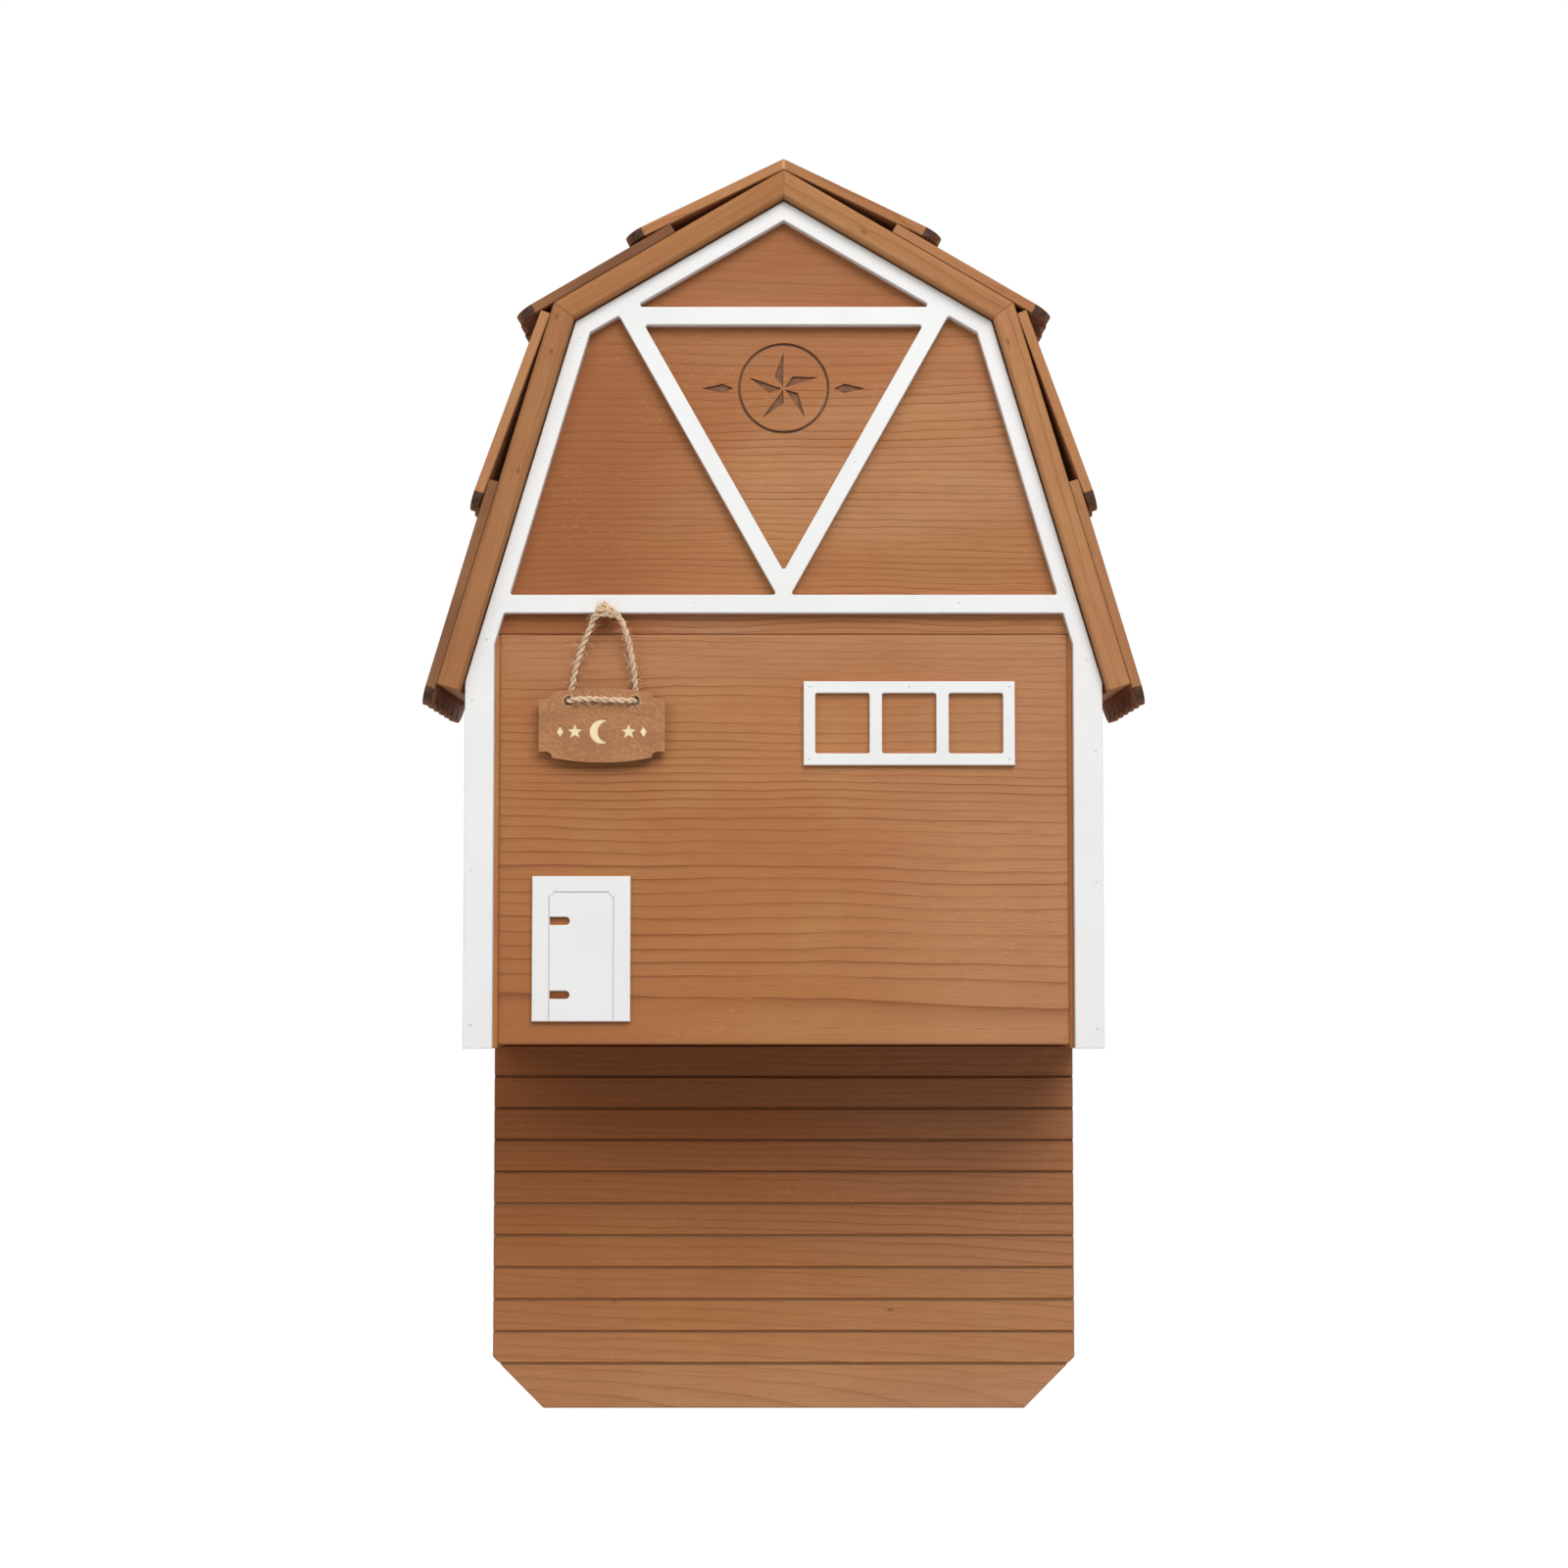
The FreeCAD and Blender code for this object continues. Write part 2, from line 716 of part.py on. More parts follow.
def make_partitions():
    """Roosting partitions, grooved on the front, held in the dados and clear of the roof."""
    reach = "side_inner + dado_depth - dado_clearance"
    inset = "roof_thickness + partition_roof_gap"
    corners = mirrored([
        (reach, "partition_foot"),
        (reach, slope_z(inset, reach)),
        (slope_x(inset, "partition_top"), "partition_top"),
    ])
    for number in range(PARTITIONS):
        label = f"roost_partition_{number + 1}"
        rear = f"back_thickness + chamber_depth + {number} * partition_pitch"
        body = slat(label, corners, rear, "partition_thickness")
        copies = grooves_between("partition_foot + groove_margin", "partition_top")
        cut_grooves(body, reach, "partition_foot + groove_margin", "partition_thickness",
                    "partition_groove_depth", copies)
        keep(body, label)


# Carved star

def star_point(number, radius):
    """Point of the barn star at a number of half arms from the top."""
    angle = 90 + 180 * number / STAR_ARMS
    return f"{radius} * cos({angle})", f"star_height + {radius} * sin({angle})"


def carve_star(body):
    """Cut one facet of each arm of a five-pointed barn star, a ring around it and a flourish each side."""
    facets = new_sketch(body, "star", offset="wall_thickness")
    for arm in range(STAR_ARMS):
        tip = star_point(2 * arm, "star_radius")
        waist = star_point(2 * arm + 1, "star_waist")
        hub = star_point(2 * arm + 0.5, "star_hub_gap")
        draw_outline(facets, [hub, tip, waist])
    add_pocket(body, facets, "carving_depth")
    ring = new_sketch(body, "ring", offset="wall_thickness")
    draw_circle(ring, "0", "star_height", "ring_radius")
    draw_circle(ring, "0", "star_height", "ring_radius + ring_width")
    for side in (-1, 1):
        inner = f"{side} * flourish_start"
        outer = f"{side} * (flourish_start + flourish_length)"
        middle = f"{side} * (flourish_start + flourish_shoulder)"
        draw_outline(ring, [(inner, "star_height"), (middle, "star_height - flourish_rise"),
                            (outer, "star_height"), (middle, "star_height + flourish_rise")])
    add_pocket(body, ring, "carving_depth")


# Roof boards

def make_roof():
    """Four boards, mitred at the ridge and where the slope breaks."""
    eave_x = "break_half_width + lower_board_length * sin(lower_lean)"
    eave_z = "break_height - lower_board_length * cos(lower_lean)"
    inner_x = f"{eave_x} - roof_thickness * cos(lower_lean)"
    inner_z = f"{eave_z} - roof_thickness * sin(lower_lean)"
    for side, name in ((-1, "left"), (1, "right")):
        upper = [
            ("0", ridge_at("roof_thickness")),
            (f"{side} * {break_x('roof_thickness')}", break_z("roof_thickness")),
            (f"{side} * break_half_width", "break_height"),
            ("0", "ridge_height"),
        ]
        lower = [
            (f"{side} * {break_x('roof_thickness')}", break_z("roof_thickness")),
            (f"{side} * ({inner_x})", inner_z),
            (f"{side} * ({eave_x})", eave_z),
            (f"{side} * break_half_width", "break_height"),
        ]
        for part, corners in (("upper", upper), ("lower", lower)):
            label = f"roof_board_{part}_{name}"
            boards[label] = slat(f"{label}_blank", corners, "0", "roof_length")


# Shingle strips

COURSES = {
    "ridge": ("ridge_course_length", "ridge_course_pitch", "0", "ridge_height + shingle_clearance"),
    "upper": (
        "upper_course_length", "upper_pitch * 1 deg",
        "upper_course_start * cos(upper_pitch) + shingle_clearance * sin(upper_pitch)",
        "ridge_height - upper_course_start * sin(upper_pitch) + shingle_clearance * cos(upper_pitch)",
    ),
    "middle": (
        "middle_course_length", "90 deg - middle_course_lean",
        "break_half_width + middle_course_start * sin(lower_lean) + shingle_clearance * cos(lower_lean)",
        "break_height - middle_course_start * cos(lower_lean) + shingle_clearance * sin(lower_lean)",
    ),
    "eave": (
        "eave_course_length", "(90 - lower_lean) * 1 deg",
        "break_half_width + eave_course_start * sin(lower_lean) + shingle_clearance * cos(lower_lean)",
        "break_height - eave_course_start * cos(lower_lean) + shingle_clearance * sin(lower_lean)",
    ),
}


def make_shingles():
    """Eight strips, each with a scalloped lower edge; the two at the ridge meet in a mitre."""
    for course, (length, pitch, head_x, head_z) in COURSES.items():
        for side, name in ((-1, "left"), (1, "right")):
            label = f"shingle_{course}_{name}"
            body = new_body(f"{label}_strip")
            body.Placement = Placement(Vector(), Rotation(Vector(0, side, 0), value(pitch)))
            body.setExpression("Placement.Rotation.Angle", bind(pitch))
            body.setExpression("Placement.Base.x", bind(f"{side} * ({head_x})"))
            body.setExpression("Placement.Base.z", bind(f"{head_z} - hanger_height"))
            draw_scallops(body, side, length)
            if course == "ridge":
                add_mitre(body, side, pitch)
            tools = [shingle_brad(label, number, side, pitch, head_x, head_z, extra="hole_clearance")
                     for number in range(3)]
            keep(drill(body, tools, f"{label}_drilled"), label)


def draw_scallops(body, side, length):
    """Flat strip from its head at zero to its scalloped edge."""
    sketch = new_sketch(body, "strip", role="XY_Plane")
    straight = f"{side} * ({length} - scallop_depth)"
    corners = [("0", "-roof_length"), ("0", "0")]
    corners += [(straight, f"-{number} * scallop_pitch") for number in range(SCALLOPS)]
    corners.append((straight, "-roof_length"))
    arcs = {2 + number: ("scallop_radius", side) for number in range(SCALLOPS)}
    draw_outline(sketch, corners, arcs)
    add_pad(body, sketch, "shingle_thickness")


def add_mitre(body, side, pitch):
    """Carry the head of a ridge strip up to the plane midway between the two."""
    sketch = new_sketch(body, "mitre")
    back = f"-{side} * shingle_thickness * tan({pitch})"
    draw_outline(sketch, [("0", "0"), (f"{side} * shingle_thickness", "shingle_thickness / 2"),
                          ("0", "shingle_thickness"), (back, "shingle_thickness")])
    add_pad(body, sketch, "roof_length")


def shingle_brad(label, number, side, pitch, head_x, head_z, extra="0"):
    """Brad driven square through the head of a strip, flush with its outer face."""
    along = "shingle_brad_setback"
    x = f"{side} * ({head_x} + {along} * cos({pitch}) + shingle_thickness * sin({pitch}))"
    z = f"{head_z} - {along} * sin({pitch}) + shingle_thickness * cos({pitch})"
    depth = ("shingle_brad_margin", "roof_length / 2", "roof_length - shingle_brad_margin")[number]
    direction = (Vector(0, side, 0), f"180 deg + {pitch}")
    name = f"{label}_brad_{number}" + ("_hole" if extra != "0" else "")
    return pin(name, f"shingle_brad_radius + {extra}", f"shingle_brad_length + {extra}", (x, depth, z),
               direction)


# Front trim

def make_trim():
    """One cut-out frame that follows the inside of the roof, with bars, braces and side bars."""
    top = ridge_at("trim_inline")
    outer = mirrored([
        ("side_bar_inner", "wall_foot"),
        ("body_half_width", "wall_foot"),
        ("body_half_width", slope_z("trim_outline", "body_half_width")),
        (break_x("trim_outline"), break_z("trim_outline")),
        ("0", ridge_at("trim_outline")),
    ])
    doorway = mirrored([
        ("side_bar_inner", slope_z("trim_inline", "side_bar_inner")),
        (slope_x("trim_inline", "lower_bar_bottom"), "lower_bar_bottom"),
    ])
    collar_reach = f"({top} - collar_top) / tan(upper_pitch)"
    crotch_reach = "(collar_bottom - brace_crotch) * tan(brace_lean)"
    bar_reach = "(lower_bar_top - brace_crotch) * tan(brace_lean) + brace_reach"
    meet_x = f"((({top} - brace_crotch) * tan(brace_lean) + brace_reach)"
    meet_x += " / (1 + tan(upper_pitch) * tan(brace_lean)))"
    body = new_body("front_trim_board", "front_face")
    sketch = new_sketch(body, "outline")
    draw_outline(sketch, outer + list(reversed(doorway)))
    draw_outline(sketch, mirrored([(collar_reach, "collar_top"), ("0", top)]))
    draw_outline(sketch, [(crotch_reach, "collar_bottom"), (f"-{crotch_reach}", "collar_bottom"),
                          ("0", "brace_crotch")])
    for side in (-1, 1):
        draw_outline(sketch, [
            (f"{side} * ({bar_reach})", "lower_bar_top"),
            (f"{side} * {slope_x('trim_inline', 'lower_bar_top')}", "lower_bar_top"),
            (f"{side} * {break_x('trim_inline')}", break_z("trim_inline")),
            (f"{side} * {meet_x}", f"{top} - {meet_x} * tan(upper_pitch)"),
        ])
    add_pad(body, sketch, "trim_thickness")
    round_corners(body, "router_radius", outer)
    ease_front(body, "painted_edge", "trim_thickness")
    boards["front_trim"] = body


# Window frame and door plate

def make_window():
    """Three-light window frame, rounded in the corners of its openings."""
    body = new_body("window_frame_board", "front_face")
    sketch = new_sketch(body, "outline")
    left = "window_centre - window_width / 2"
    right = "window_centre + window_width / 2"
    top = "window_foot + window_height"
    corners = [(left, "window_foot"), (right, "window_foot"), (right, top), (left, top)]
    draw_outline(sketch, corners)
    for number in range(PANES):
        pane = f"{left} + window_border + {number} * (pane_width + mullion)"
        draw_box(sketch, pane, f"{pane} + pane_width", "window_foot + window_border",
                 "window_foot + window_border + pane_height")
    add_pad(body, sketch, "plate_thickness")
    round_corners(body, "router_radius", corners)
    ease_front(body, "painted_edge", "plate_thickness")
    boards["window_frame"] = body


def make_door():
    """Door plate with two hinge slots and an engraved line around its leaf."""
    body = new_body("door_plate", "front_face")
    sketch = new_sketch(body, "outline")
    draw_box(sketch, "door_centre - door_width / 2", "door_centre + door_width / 2", "door_foot",
             "door_foot + door_height")
    leaf_left = "door_centre - leaf_width / 2"
    leaf_top = "door_foot + door_height - leaf_head"
    radius = "hinge_slot_width / 2"
    for number in range(2):
        middle = f"door_foot + hinge_slot_first + {number} * hinge_slot_spacing"
        straight = f"{leaf_left} + hinge_slot_length - {radius}"
        draw_outline(sketch, [(leaf_left, f"{middle} - {radius}"), (straight, f"{middle} - {radius}"),
                              (straight, f"{middle} + {radius}"), (leaf_left, f"{middle} + {radius}")],
                     {1: ("half", -1)})
    add_pad(body, sketch, "plate_thickness")
    ease_front(body, "painted_edge", "plate_thickness")
    line = new_sketch(body, "leaf", offset="plate_thickness")
    inner = leaf_corners("leaf_width / 2", leaf_top, "leaf_corner")
    wide = "leaf_width / 2 + leaf_line_width"
    outer = leaf_corners(wide, f"{leaf_top} + leaf_line_width", "leaf_corner + leaf_line_width")
    corners = outer + list(reversed(inner))
    bend = "leaf_corner + leaf_line_width"
    draw_outline(line, corners, {1: (bend, 1), 3: (bend, 1), 7: ("leaf_corner", -1), 9: ("leaf_corner", -1)})
    add_pocket(body, line, "leaf_line_depth")
    keep(body, "door_plate")


def leaf_corners(half_width, top, radius):
    """Right and left sides and rounded head of the door's leaf, from foot to foot."""
    return [
        (f"door_centre + {half_width}", "door_foot - overcut"),
        (f"door_centre + {half_width}", f"{top} - ({radius})"),
        (f"door_centre + {half_width} - ({radius})", top),
        (f"door_centre - ({half_width}) + {radius}", top),
        (f"door_centre - ({half_width})", f"{top} - ({radius})"),
        (f"door_centre - ({half_width})", "door_foot - overcut"),
    ]


# Hanging sign

def make_sign():
    """Sign board with coved corners, arched top and foot, two cord holes and sunk ornaments."""
    body = new_body("sign_board", "sign_back")
    sketch = new_sketch(body, "outline")
    edge = "sign_width / 2"
    step = "sign_width / 2 - sign_cove_inset"
    side = "sign_side / 2"
    reach = "sign_side / 2 + sign_cove"
    quarter = [
        (edge, side),
        (f"{step} + sign_cove", side),
        (step, reach),
    ]
    upper_left = [(f"-({x})", z) for x, z in reversed(quarter)]
    lower_left = [(f"-({x})", f"-({z})") for x, z in quarter]
    lower_right = [(x, f"-({z})") for x, z in reversed(quarter)]
    corners = quarter + upper_left + lower_left + lower_right
    corners = [(f"sign_centre + {x}", f"sign_middle + {z}") for x, z in corners]
    arch = f"(({step})^2 + sign_arc_rise^2) / (2 * sign_arc_rise)"
    arcs = {1: ("sign_cove", 1), 2: (arch, -1), 3: ("sign_cove", 1), 7: ("sign_cove", 1), 8: (arch, -1),
            9: ("sign_cove", 1)}
    draw_outline(sketch, corners, arcs)
    for turn in (-1, 1):
        draw_circle(sketch, f"sign_centre + {turn} * cord_hole_offset", "cord_hole_height",
                    "cord_hole_radius")
    add_pad(body, sketch, "sign_thickness")
    sink_ornaments(body)
    keep(body, "sign_board")


def sink_ornaments(body):
    """Crescent moon between two stars and two diamonds, sunk into the face of the sign."""
    sketch = new_sketch(body, "ornament", offset="sign_thickness")
    height = "sign_middle - inlay_drop"
    cross_x = "(moon_radius^2 - moon_bite^2 + moon_offset^2) / (2 * moon_offset)"
    cross_z = f"sqrt(moon_radius^2 - ({cross_x})^2)"
    top = (f"sign_centre + {cross_x}", f"{height} + {cross_z}")
    foot = (f"sign_centre + {cross_x}", f"{height} - {cross_z}")
    left = ("sign_centre - moon_radius", height)
    bite = ("sign_centre + moon_offset - moon_bite", height)
    draw_outline(sketch, [top, left, foot, bite],
                 {0: ("moon_radius", -1), 1: ("moon_radius", -1), 2: ("moon_bite", 1), 3: ("moon_bite", 1)})
    for side in (-1, 1):
        star = []
        for number in range(2 * STAR_ARMS):
            angle = 90 + 180 * number / STAR_ARMS
            radius = "inlay_star_waist" if number % 2 else "inlay_star_radius"
            star.append((f"sign_centre + {side} * inlay_star_offset + {radius} * cos({angle})",
                         f"{height} + {radius} * sin({angle})"))
        draw_outline(sketch, star)
        middle = f"sign_centre + {side} * diamond_offset"
        draw_outline(sketch, [(f"{middle} - diamond_half_width", height),
                              (middle, f"{height} - diamond_half_height"),
                              (f"{middle} + diamond_half_width", height),
                              (middle, f"{height} + diamond_half_height")])
    add_pocket(body, sketch, "inlay_depth")


# Twine, knot and nail

def twine_route():
    """Points of the loop from the knot, over the nail, behind and through the sign and back to the knot."""
    nail = Vector(value("sign_centre"), 0, value("nail_height"))
    front = value("twine_nail_depth")
    back = value("twine_back_depth")
    face = value("twine_front_depth")
    hole_x = value("cord_hole_offset")
    hole_z = value("cord_hole_height") - value("nail_height")
    places = [
        (5.8, front, -4.4),
        (1.7, front, 2.7),
        (-1.7, front, 2.7),
        (-5.1, front, -2.8),
        (-9.4, front - 0.6, -11.5),
        (-13.5, front - 3.1, -23.0),
        (-16.3, back + 0.3, -36.5),
        (-hole_x, back, hole_z),
        (-hole_x, face, hole_z),
        (-9.5, face, hole_z + 1.2),
        (5.0, face, hole_z + 0.2),
        (hole_x, face, hole_z),
        (hole_x, back, hole_z),
        (17.7, back + 0.2, -38.0),
        (15.7, front - 3.2, -26.0),
        (12.3, front - 0.8, -15.5),
        (8.8, front, -8.6),
    ]
    return [Vector(nail.x + x, -depth, nail.z + z - value("hanger_height")) for x, depth, z in places]


def rounded_path(points):
    """Straight runs through points joined by tangent arcs, each as large as its two runs allow."""
    edges = []
    start = points[0]
    radii = []
    for before, corner, after in zip(points, points[1:], points[2:]):
        into = (corner - before)
        out = (after - corner)
        turn = into.getAngle(out)
        trim = 0.45 * min(into.Length, out.Length)
        radii.append(trim / math.tan(turn / 2))
        arc_start = corner - into.normalize() * trim
        arc_end = corner + out.normalize() * trim
        bisector = (arc_start + arc_end) / 2 - corner
        reach = radii[-1] / math.cos(turn / 2) - radii[-1]
        middle = corner + bisector.normalize() * reach
        edges.append(Part.LineSegment(start, arc_start).toShape())
        edges.append(Part.Arc(arc_start, middle, arc_end).toShape())
        start = arc_end
    edges.append(Part.LineSegment(start, points[-1]).toShape())
    print("twine radii", [round(radius, 1) for radius in radii])
    return Part.Wire(edges)


def make_twine():
    """Twine loop as one tube, with the knot that closes it beside the nail."""
    path = rounded_path(twine_route())
    start = path.Edges[0]
    profile = Part.Wire(Part.Circle(start.valueAt(0), start.tangentAt(0), value("twine_radius")).toShape())
    tube = path.makePipeShell([profile], True, False)
    expected = math.pi * value("twine_radius") ** 2 * path.Length
    print("twine length", round(path.Length, 1), "volume ratio", round(tube.Volume / expected, 4))
    twine = doc.addObject("Part::Feature", "sign_twine")
    twine.Shape = tube
    keep(twine, "sign_twine")
    knot = doc.addObject("Part::Ellipsoid", "twine_knot")
    knot.setExpression("Radius1", bind("knot_half_height"))
    knot.setExpression("Radius2", bind("knot_half_length"))
    knot.setExpression("Radius3", bind("knot_half_depth"))
    place_along(knot, ("sign_centre + knot_offset", "trim_face + twine_clearance + knot_half_depth",
                       "nail_height - knot_drop"), (Vector(0, 1, 0), "knot_tilt"))
    keep(knot, "twine_knot")
    make_nail()


def make_nail():
    """Nail in the lower bar of the trim, its head just outside the twine."""
    place = ("sign_centre", "trim_face - trim_thickness - nail_grip", "nail_height")
    out = "twine_nail_depth + twine_radius + twine_clearance"
    length = f"{out} - ({place[1]})"
    head_place = ("sign_centre", out, "nail_height")
    shank = pin("sign_nail_shank", "nail_radius", length, place, "front")
    head = pin("sign_nail_head", "nail_head_radius", "nail_head_thickness", head_place, "front")
    nail = doc.addObject("Part::Fuse", "sign_nail")
    nail.Base = shank
    nail.Tool = head
    keep(nail, "sign_nail")
    for board in ("front_trim", "gable_board"):
        hole = pin(f"nail_hole_{board}", "nail_radius + hole_clearance", f"{length} + hole_clearance",
                   (place[0], f"{place[1]} - hole_clearance", place[2]), "front")
        holes[board].append(hole)


# Brads, screws and nails

def trim_brad_places():
    """Brads of the trim as (x, height, board behind)."""
    places = []
    for side, wall in ((-1, "side_panel_left"), (1, "side_panel_right")):
        places += [(f"{side} * (body_half_width - brad_inset)", height, wall) for height in POST_BRADS[side]]
        for height in RAKE_BRADS[side]:
            board = wall if value(height) < value("wall_top") else "gable_board"
            places.append((f"{side} * {slope_x(BAND_MIDDLE, height)}", height, board))
    bar = "lower_bar_bottom + lower_bar_band / 2"
    places += [("-left_bar_brad", bar, "gable_board"), ("right_bar_brad", bar, "gable_board")]
    ridge = f"{ridge_at(BAND_MIDDLE)} - ridge_brad_offset * tan(upper_pitch)"
    places.append(("-ridge_brad_offset", ridge, "gable_board"))
    rise = "(collar_bottom - brace_crotch) / 2 - brace_brad_drop"
    brace = f"brace_reach / 2 + ({rise}) * tan(brace_lean)"
    places.append((brace, f"brace_crotch + {rise}", "gable_board"))
    return places


def make_brads():
    """Brads in the trim and the window frame, sunk just below the paint."""
    brads = []
    for number, (x, height, board) in enumerate(trim_brad_places()):
        place = (x, "trim_face - brad_sink", height)
        brads.append(pin(f"trim_brad_{number}", "brad_radius", "brad_length", place, "rear"))
        for target in ("front_trim", board):
            deeper = (x, "trim_face + hole_clearance", height)
            holes[target].append(pin(f"trim_brad_hole_{number}_{target}", "brad_radius + hole_clearance",
                                     "brad_length + brad_sink + 2 * hole_clearance", deeper, "rear"))
    keep(group("trim_brads", brads), "trim_brads")

    brads = []
    reach = "window_width / 2 - window_brad_inset"
    columns = (f"-({reach})", "0", reach)
    rows = ("window_foot + window_brad_inset", "window_foot + window_height - window_brad_inset")
    for column_number, column in enumerate(columns):
        for row_number, height in enumerate(rows):
            name = f"window_brad_{column_number}_{row_number}"
            x = f"window_centre + {column}"
            brads.append(pin(name, "window_brad_radius", "window_brad_length",
                             (x, "plate_face - brad_sink", height), "rear"))
            for target in ("window_frame", "front_panel"):
                holes[target].append(pin(f"{name}_hole_{target}", "window_brad_radius + hole_clearance",
                                         "window_brad_length + brad_sink + 2 * hole_clearance",
                                         (x, "plate_face + hole_clearance", height), "rear"))
    keep(group("window_brads", brads), "window_brads")


def make_screws():
    """Screws from the sides into the front panel, and from the rear into the sides."""
    heights = ("wall_foot + screw_margin", "(wall_foot + wall_top) / 2", "wall_top - screw_drop")
    sizes = ("screw_head_radius", "screw_radius", "screw_length")
    for label, spots in (
        ("side_screws", [(side, "front_inner + wall_thickness / 2", height) for side in (-1, 1)
                         for height in heights]),
        ("back_screws", [(side, "0", height) for side in (-1, 1) for height in heights]),
    ):
        screws = []
        for number, (side, depth, height) in enumerate(spots):
            name = "left" if side < 0 else "right"
            if label == "side_screws":
                place = (f"{side} * body_half_width", depth, height)
                direction = "right" if side < 0 else "left"
                targets = (f"side_panel_{name}", "front_panel")
            else:
                place = (f"{side} * (body_half_width - wall_thickness / 2)", depth, height)
                direction = "front"
                targets = ("back_panel_lower", f"side_panel_{name}")
            screws.append(screw(f"{label}_{number}", *sizes, place, direction))
            for target in targets:
                holes[target].append(screw(f"{label}_hole_{number}_{target}", *sizes, place, direction,
                                           extra="hole_clearance"))
        keep(group(label, screws), label)


def roof_nail_spots():
    """Nails of the roof as (name of the board, side, part, x, depth, height)."""
    spots = []
    for side, name in ((-1, "left"), (1, "right")):
        for depth, target in (("back_thickness / 2", "back"), ("front_inner + wall_thickness / 2", "front")):
            for along in ("roof_nail_margin", "upper_board_length - roof_nail_margin"):
                spots.append(("upper", side, name, depth, target, f"({along}) * cos(upper_pitch)",
                              f"ridge_height - ({along}) * sin(upper_pitch)"))
            above_wall = "(break_height - wall_top) / cos(lower_lean)"
            for along in ("roof_nail_margin", f"{above_wall} * 2 / 3 + roof_nail_lower_shift"):
                spots.append(("lower", side, name, depth, target,
                              f"break_half_width + ({along}) * sin(lower_lean)",
                              f"break_height - ({along}) * cos(lower_lean)"))
    return spots


def make_roof_nails():
    """Nails through the roof boards into the edges of the barn-shaped boards."""
    nails = []
    for number, (part, side, name, depth, target, x, height) in enumerate(roof_nail_spots()):
        pitch = "upper_pitch" if part == "upper" else "90 - lower_lean"
        direction = (Vector(0, side, 0), f"180 + {pitch}")
        place = (f"{side} * ({x})", depth, height)
        nails.append(pin(f"roof_nail_{number}", "roof_nail_radius", "roof_nail_length", place, direction))
        behind = "back_panel_upper" if target == "back" else "gable_board"
        for board in (f"roof_board_{part}_{name}", behind):
            holes[board].append(pin(f"roof_nail_hole_{number}_{board}", "roof_nail_radius + hole_clearance",
                                    "roof_nail_length + hole_clearance", place, direction))
    keep(group("roof_nails", nails), "roof_nails")


def make_shingle_brads():
    """Brads along the head of each shingle strip, driven on into the roof boards."""
    brads = []
    for course, (_, pitch, head_x, head_z) in COURSES.items():
        part = "upper" if course in ("ridge", "upper") else "lower"
        for side, name in ((-1, "left"), (1, "right")):
            label = f"shingle_{course}_{name}"
            for number in range(3):
                brads.append(shingle_brad(label, number, side, pitch, head_x, head_z))
                hole = shingle_brad(f"{label}_board", number, side, pitch, head_x, head_z,
                                    extra="hole_clearance")
                holes[f"roof_board_{part}_{name}"].append(hole)
    keep(group("shingle_brads", brads), "shingle_brads")


# Keyhole hangers

def make_hangers():
    """Two keyhole plates let into the rear of the upper back panel, each with two screws."""
    screws = []
    for side, name in ((-1, "left"), (1, "right")):
        centre = f"{side} * hanger_half_spacing"
        body = new_body(f"hanger_plate_{name}_blank")
        sketch = new_sketch(body, "outline")
        draw_stadium(sketch, centre, "hanger_middle", "hanger_width / 2", "hanger_length / 2")
        add_pad(body, sketch, "hanger_thickness")
        cut = new_sketch(body, "keyhole")
        half = "keyhole_slot_width / 2"
        neck = f"hanger_height + sqrt(keyhole_radius^2 - ({half})^2)"
        top = "hanger_height + keyhole_slot_rise"
        draw_outline(cut, [
            (f"{centre} + {half}", neck),
            (f"{centre} + {half}", top),
            (f"{centre} - ({half})", top),
            (f"{centre} - ({half})", neck),
            (centre, "hanger_height - keyhole_radius"),
        ], {1: ("half", -1), 3: ("keyhole_radius", -1), 4: ("keyhole_radius", -1)})
        add_pocket(body, cut, "hanger_thickness", reverse=True)
        tools = []
        for end in (-1, 1):
            place = (centre, "0", f"hanger_middle + {end} * hanger_screw_offset")
            sizes = ("hanger_screw_head", "hanger_screw_radius", "hanger_screw_length")
            label = f"hanger_screw_{name}_{end + 1}"
            screws.append(screw(label, *sizes, place, "front"))
            tools.append(screw(f"{label}_hole", *sizes, place, "front", extra="hole_clearance"))
            holes["back_panel_upper"].append(screw(f"{label}_pilot", *sizes, place, "front",
                                                   extra="hole_clearance"))
        keep(drill(body, tools, f"hanger_plate_{name}_drilled"), f"hanger_plate_{name}")
    keep(group("hanger_screws", screws), "hanger_screws")


def finish_boards():
    """Drill each board for the fasteners that pass through it."""
    for label, board in boards.items():
        keep(drill(board, holes[label], f"{label}_drilled"), label)


def check_and_write():
    """Stop on any failed object or bad shape, then write one file for each piece."""
    doc.recompute()
    for item in doc.Objects:
        if "Invalid" in item.State or "Error" in item.State:
            raise ValueError(f"{item.Name} failed: {item.State}")
    labels = [node.Label for node in nodes]
    if len(set(labels)) != len(labels):
        raise ValueError("two pieces share a name")
    for node in nodes:
        if node.Shape.isNull() or not node.Shape.isValid():
            raise ValueError(f"{node.Label} has no valid shape")
    os.makedirs("parts", exist_ok=True)
    for node in nodes:
        node.Shape.exportStep(os.path.join("parts", node.Label + ".step"))
        print(f"{node.Label}: {len(node.Shape.Solids)} solids, {node.Shape.Volume / 1000:.1f} cm3")


make_back()
make_sides()
make_front()
make_partitions()
make_roof()
make_shingles()
make_trim()
make_window()
make_door()
make_sign()
make_twine()
make_brads()
make_screws()
make_roof_nails()
make_shingle_brads()
make_hangers()
finish_boards()
check_and_write()
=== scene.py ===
"""Wall-hung bat box shaped like a barn: its finishes, its twine and the studio around it."""

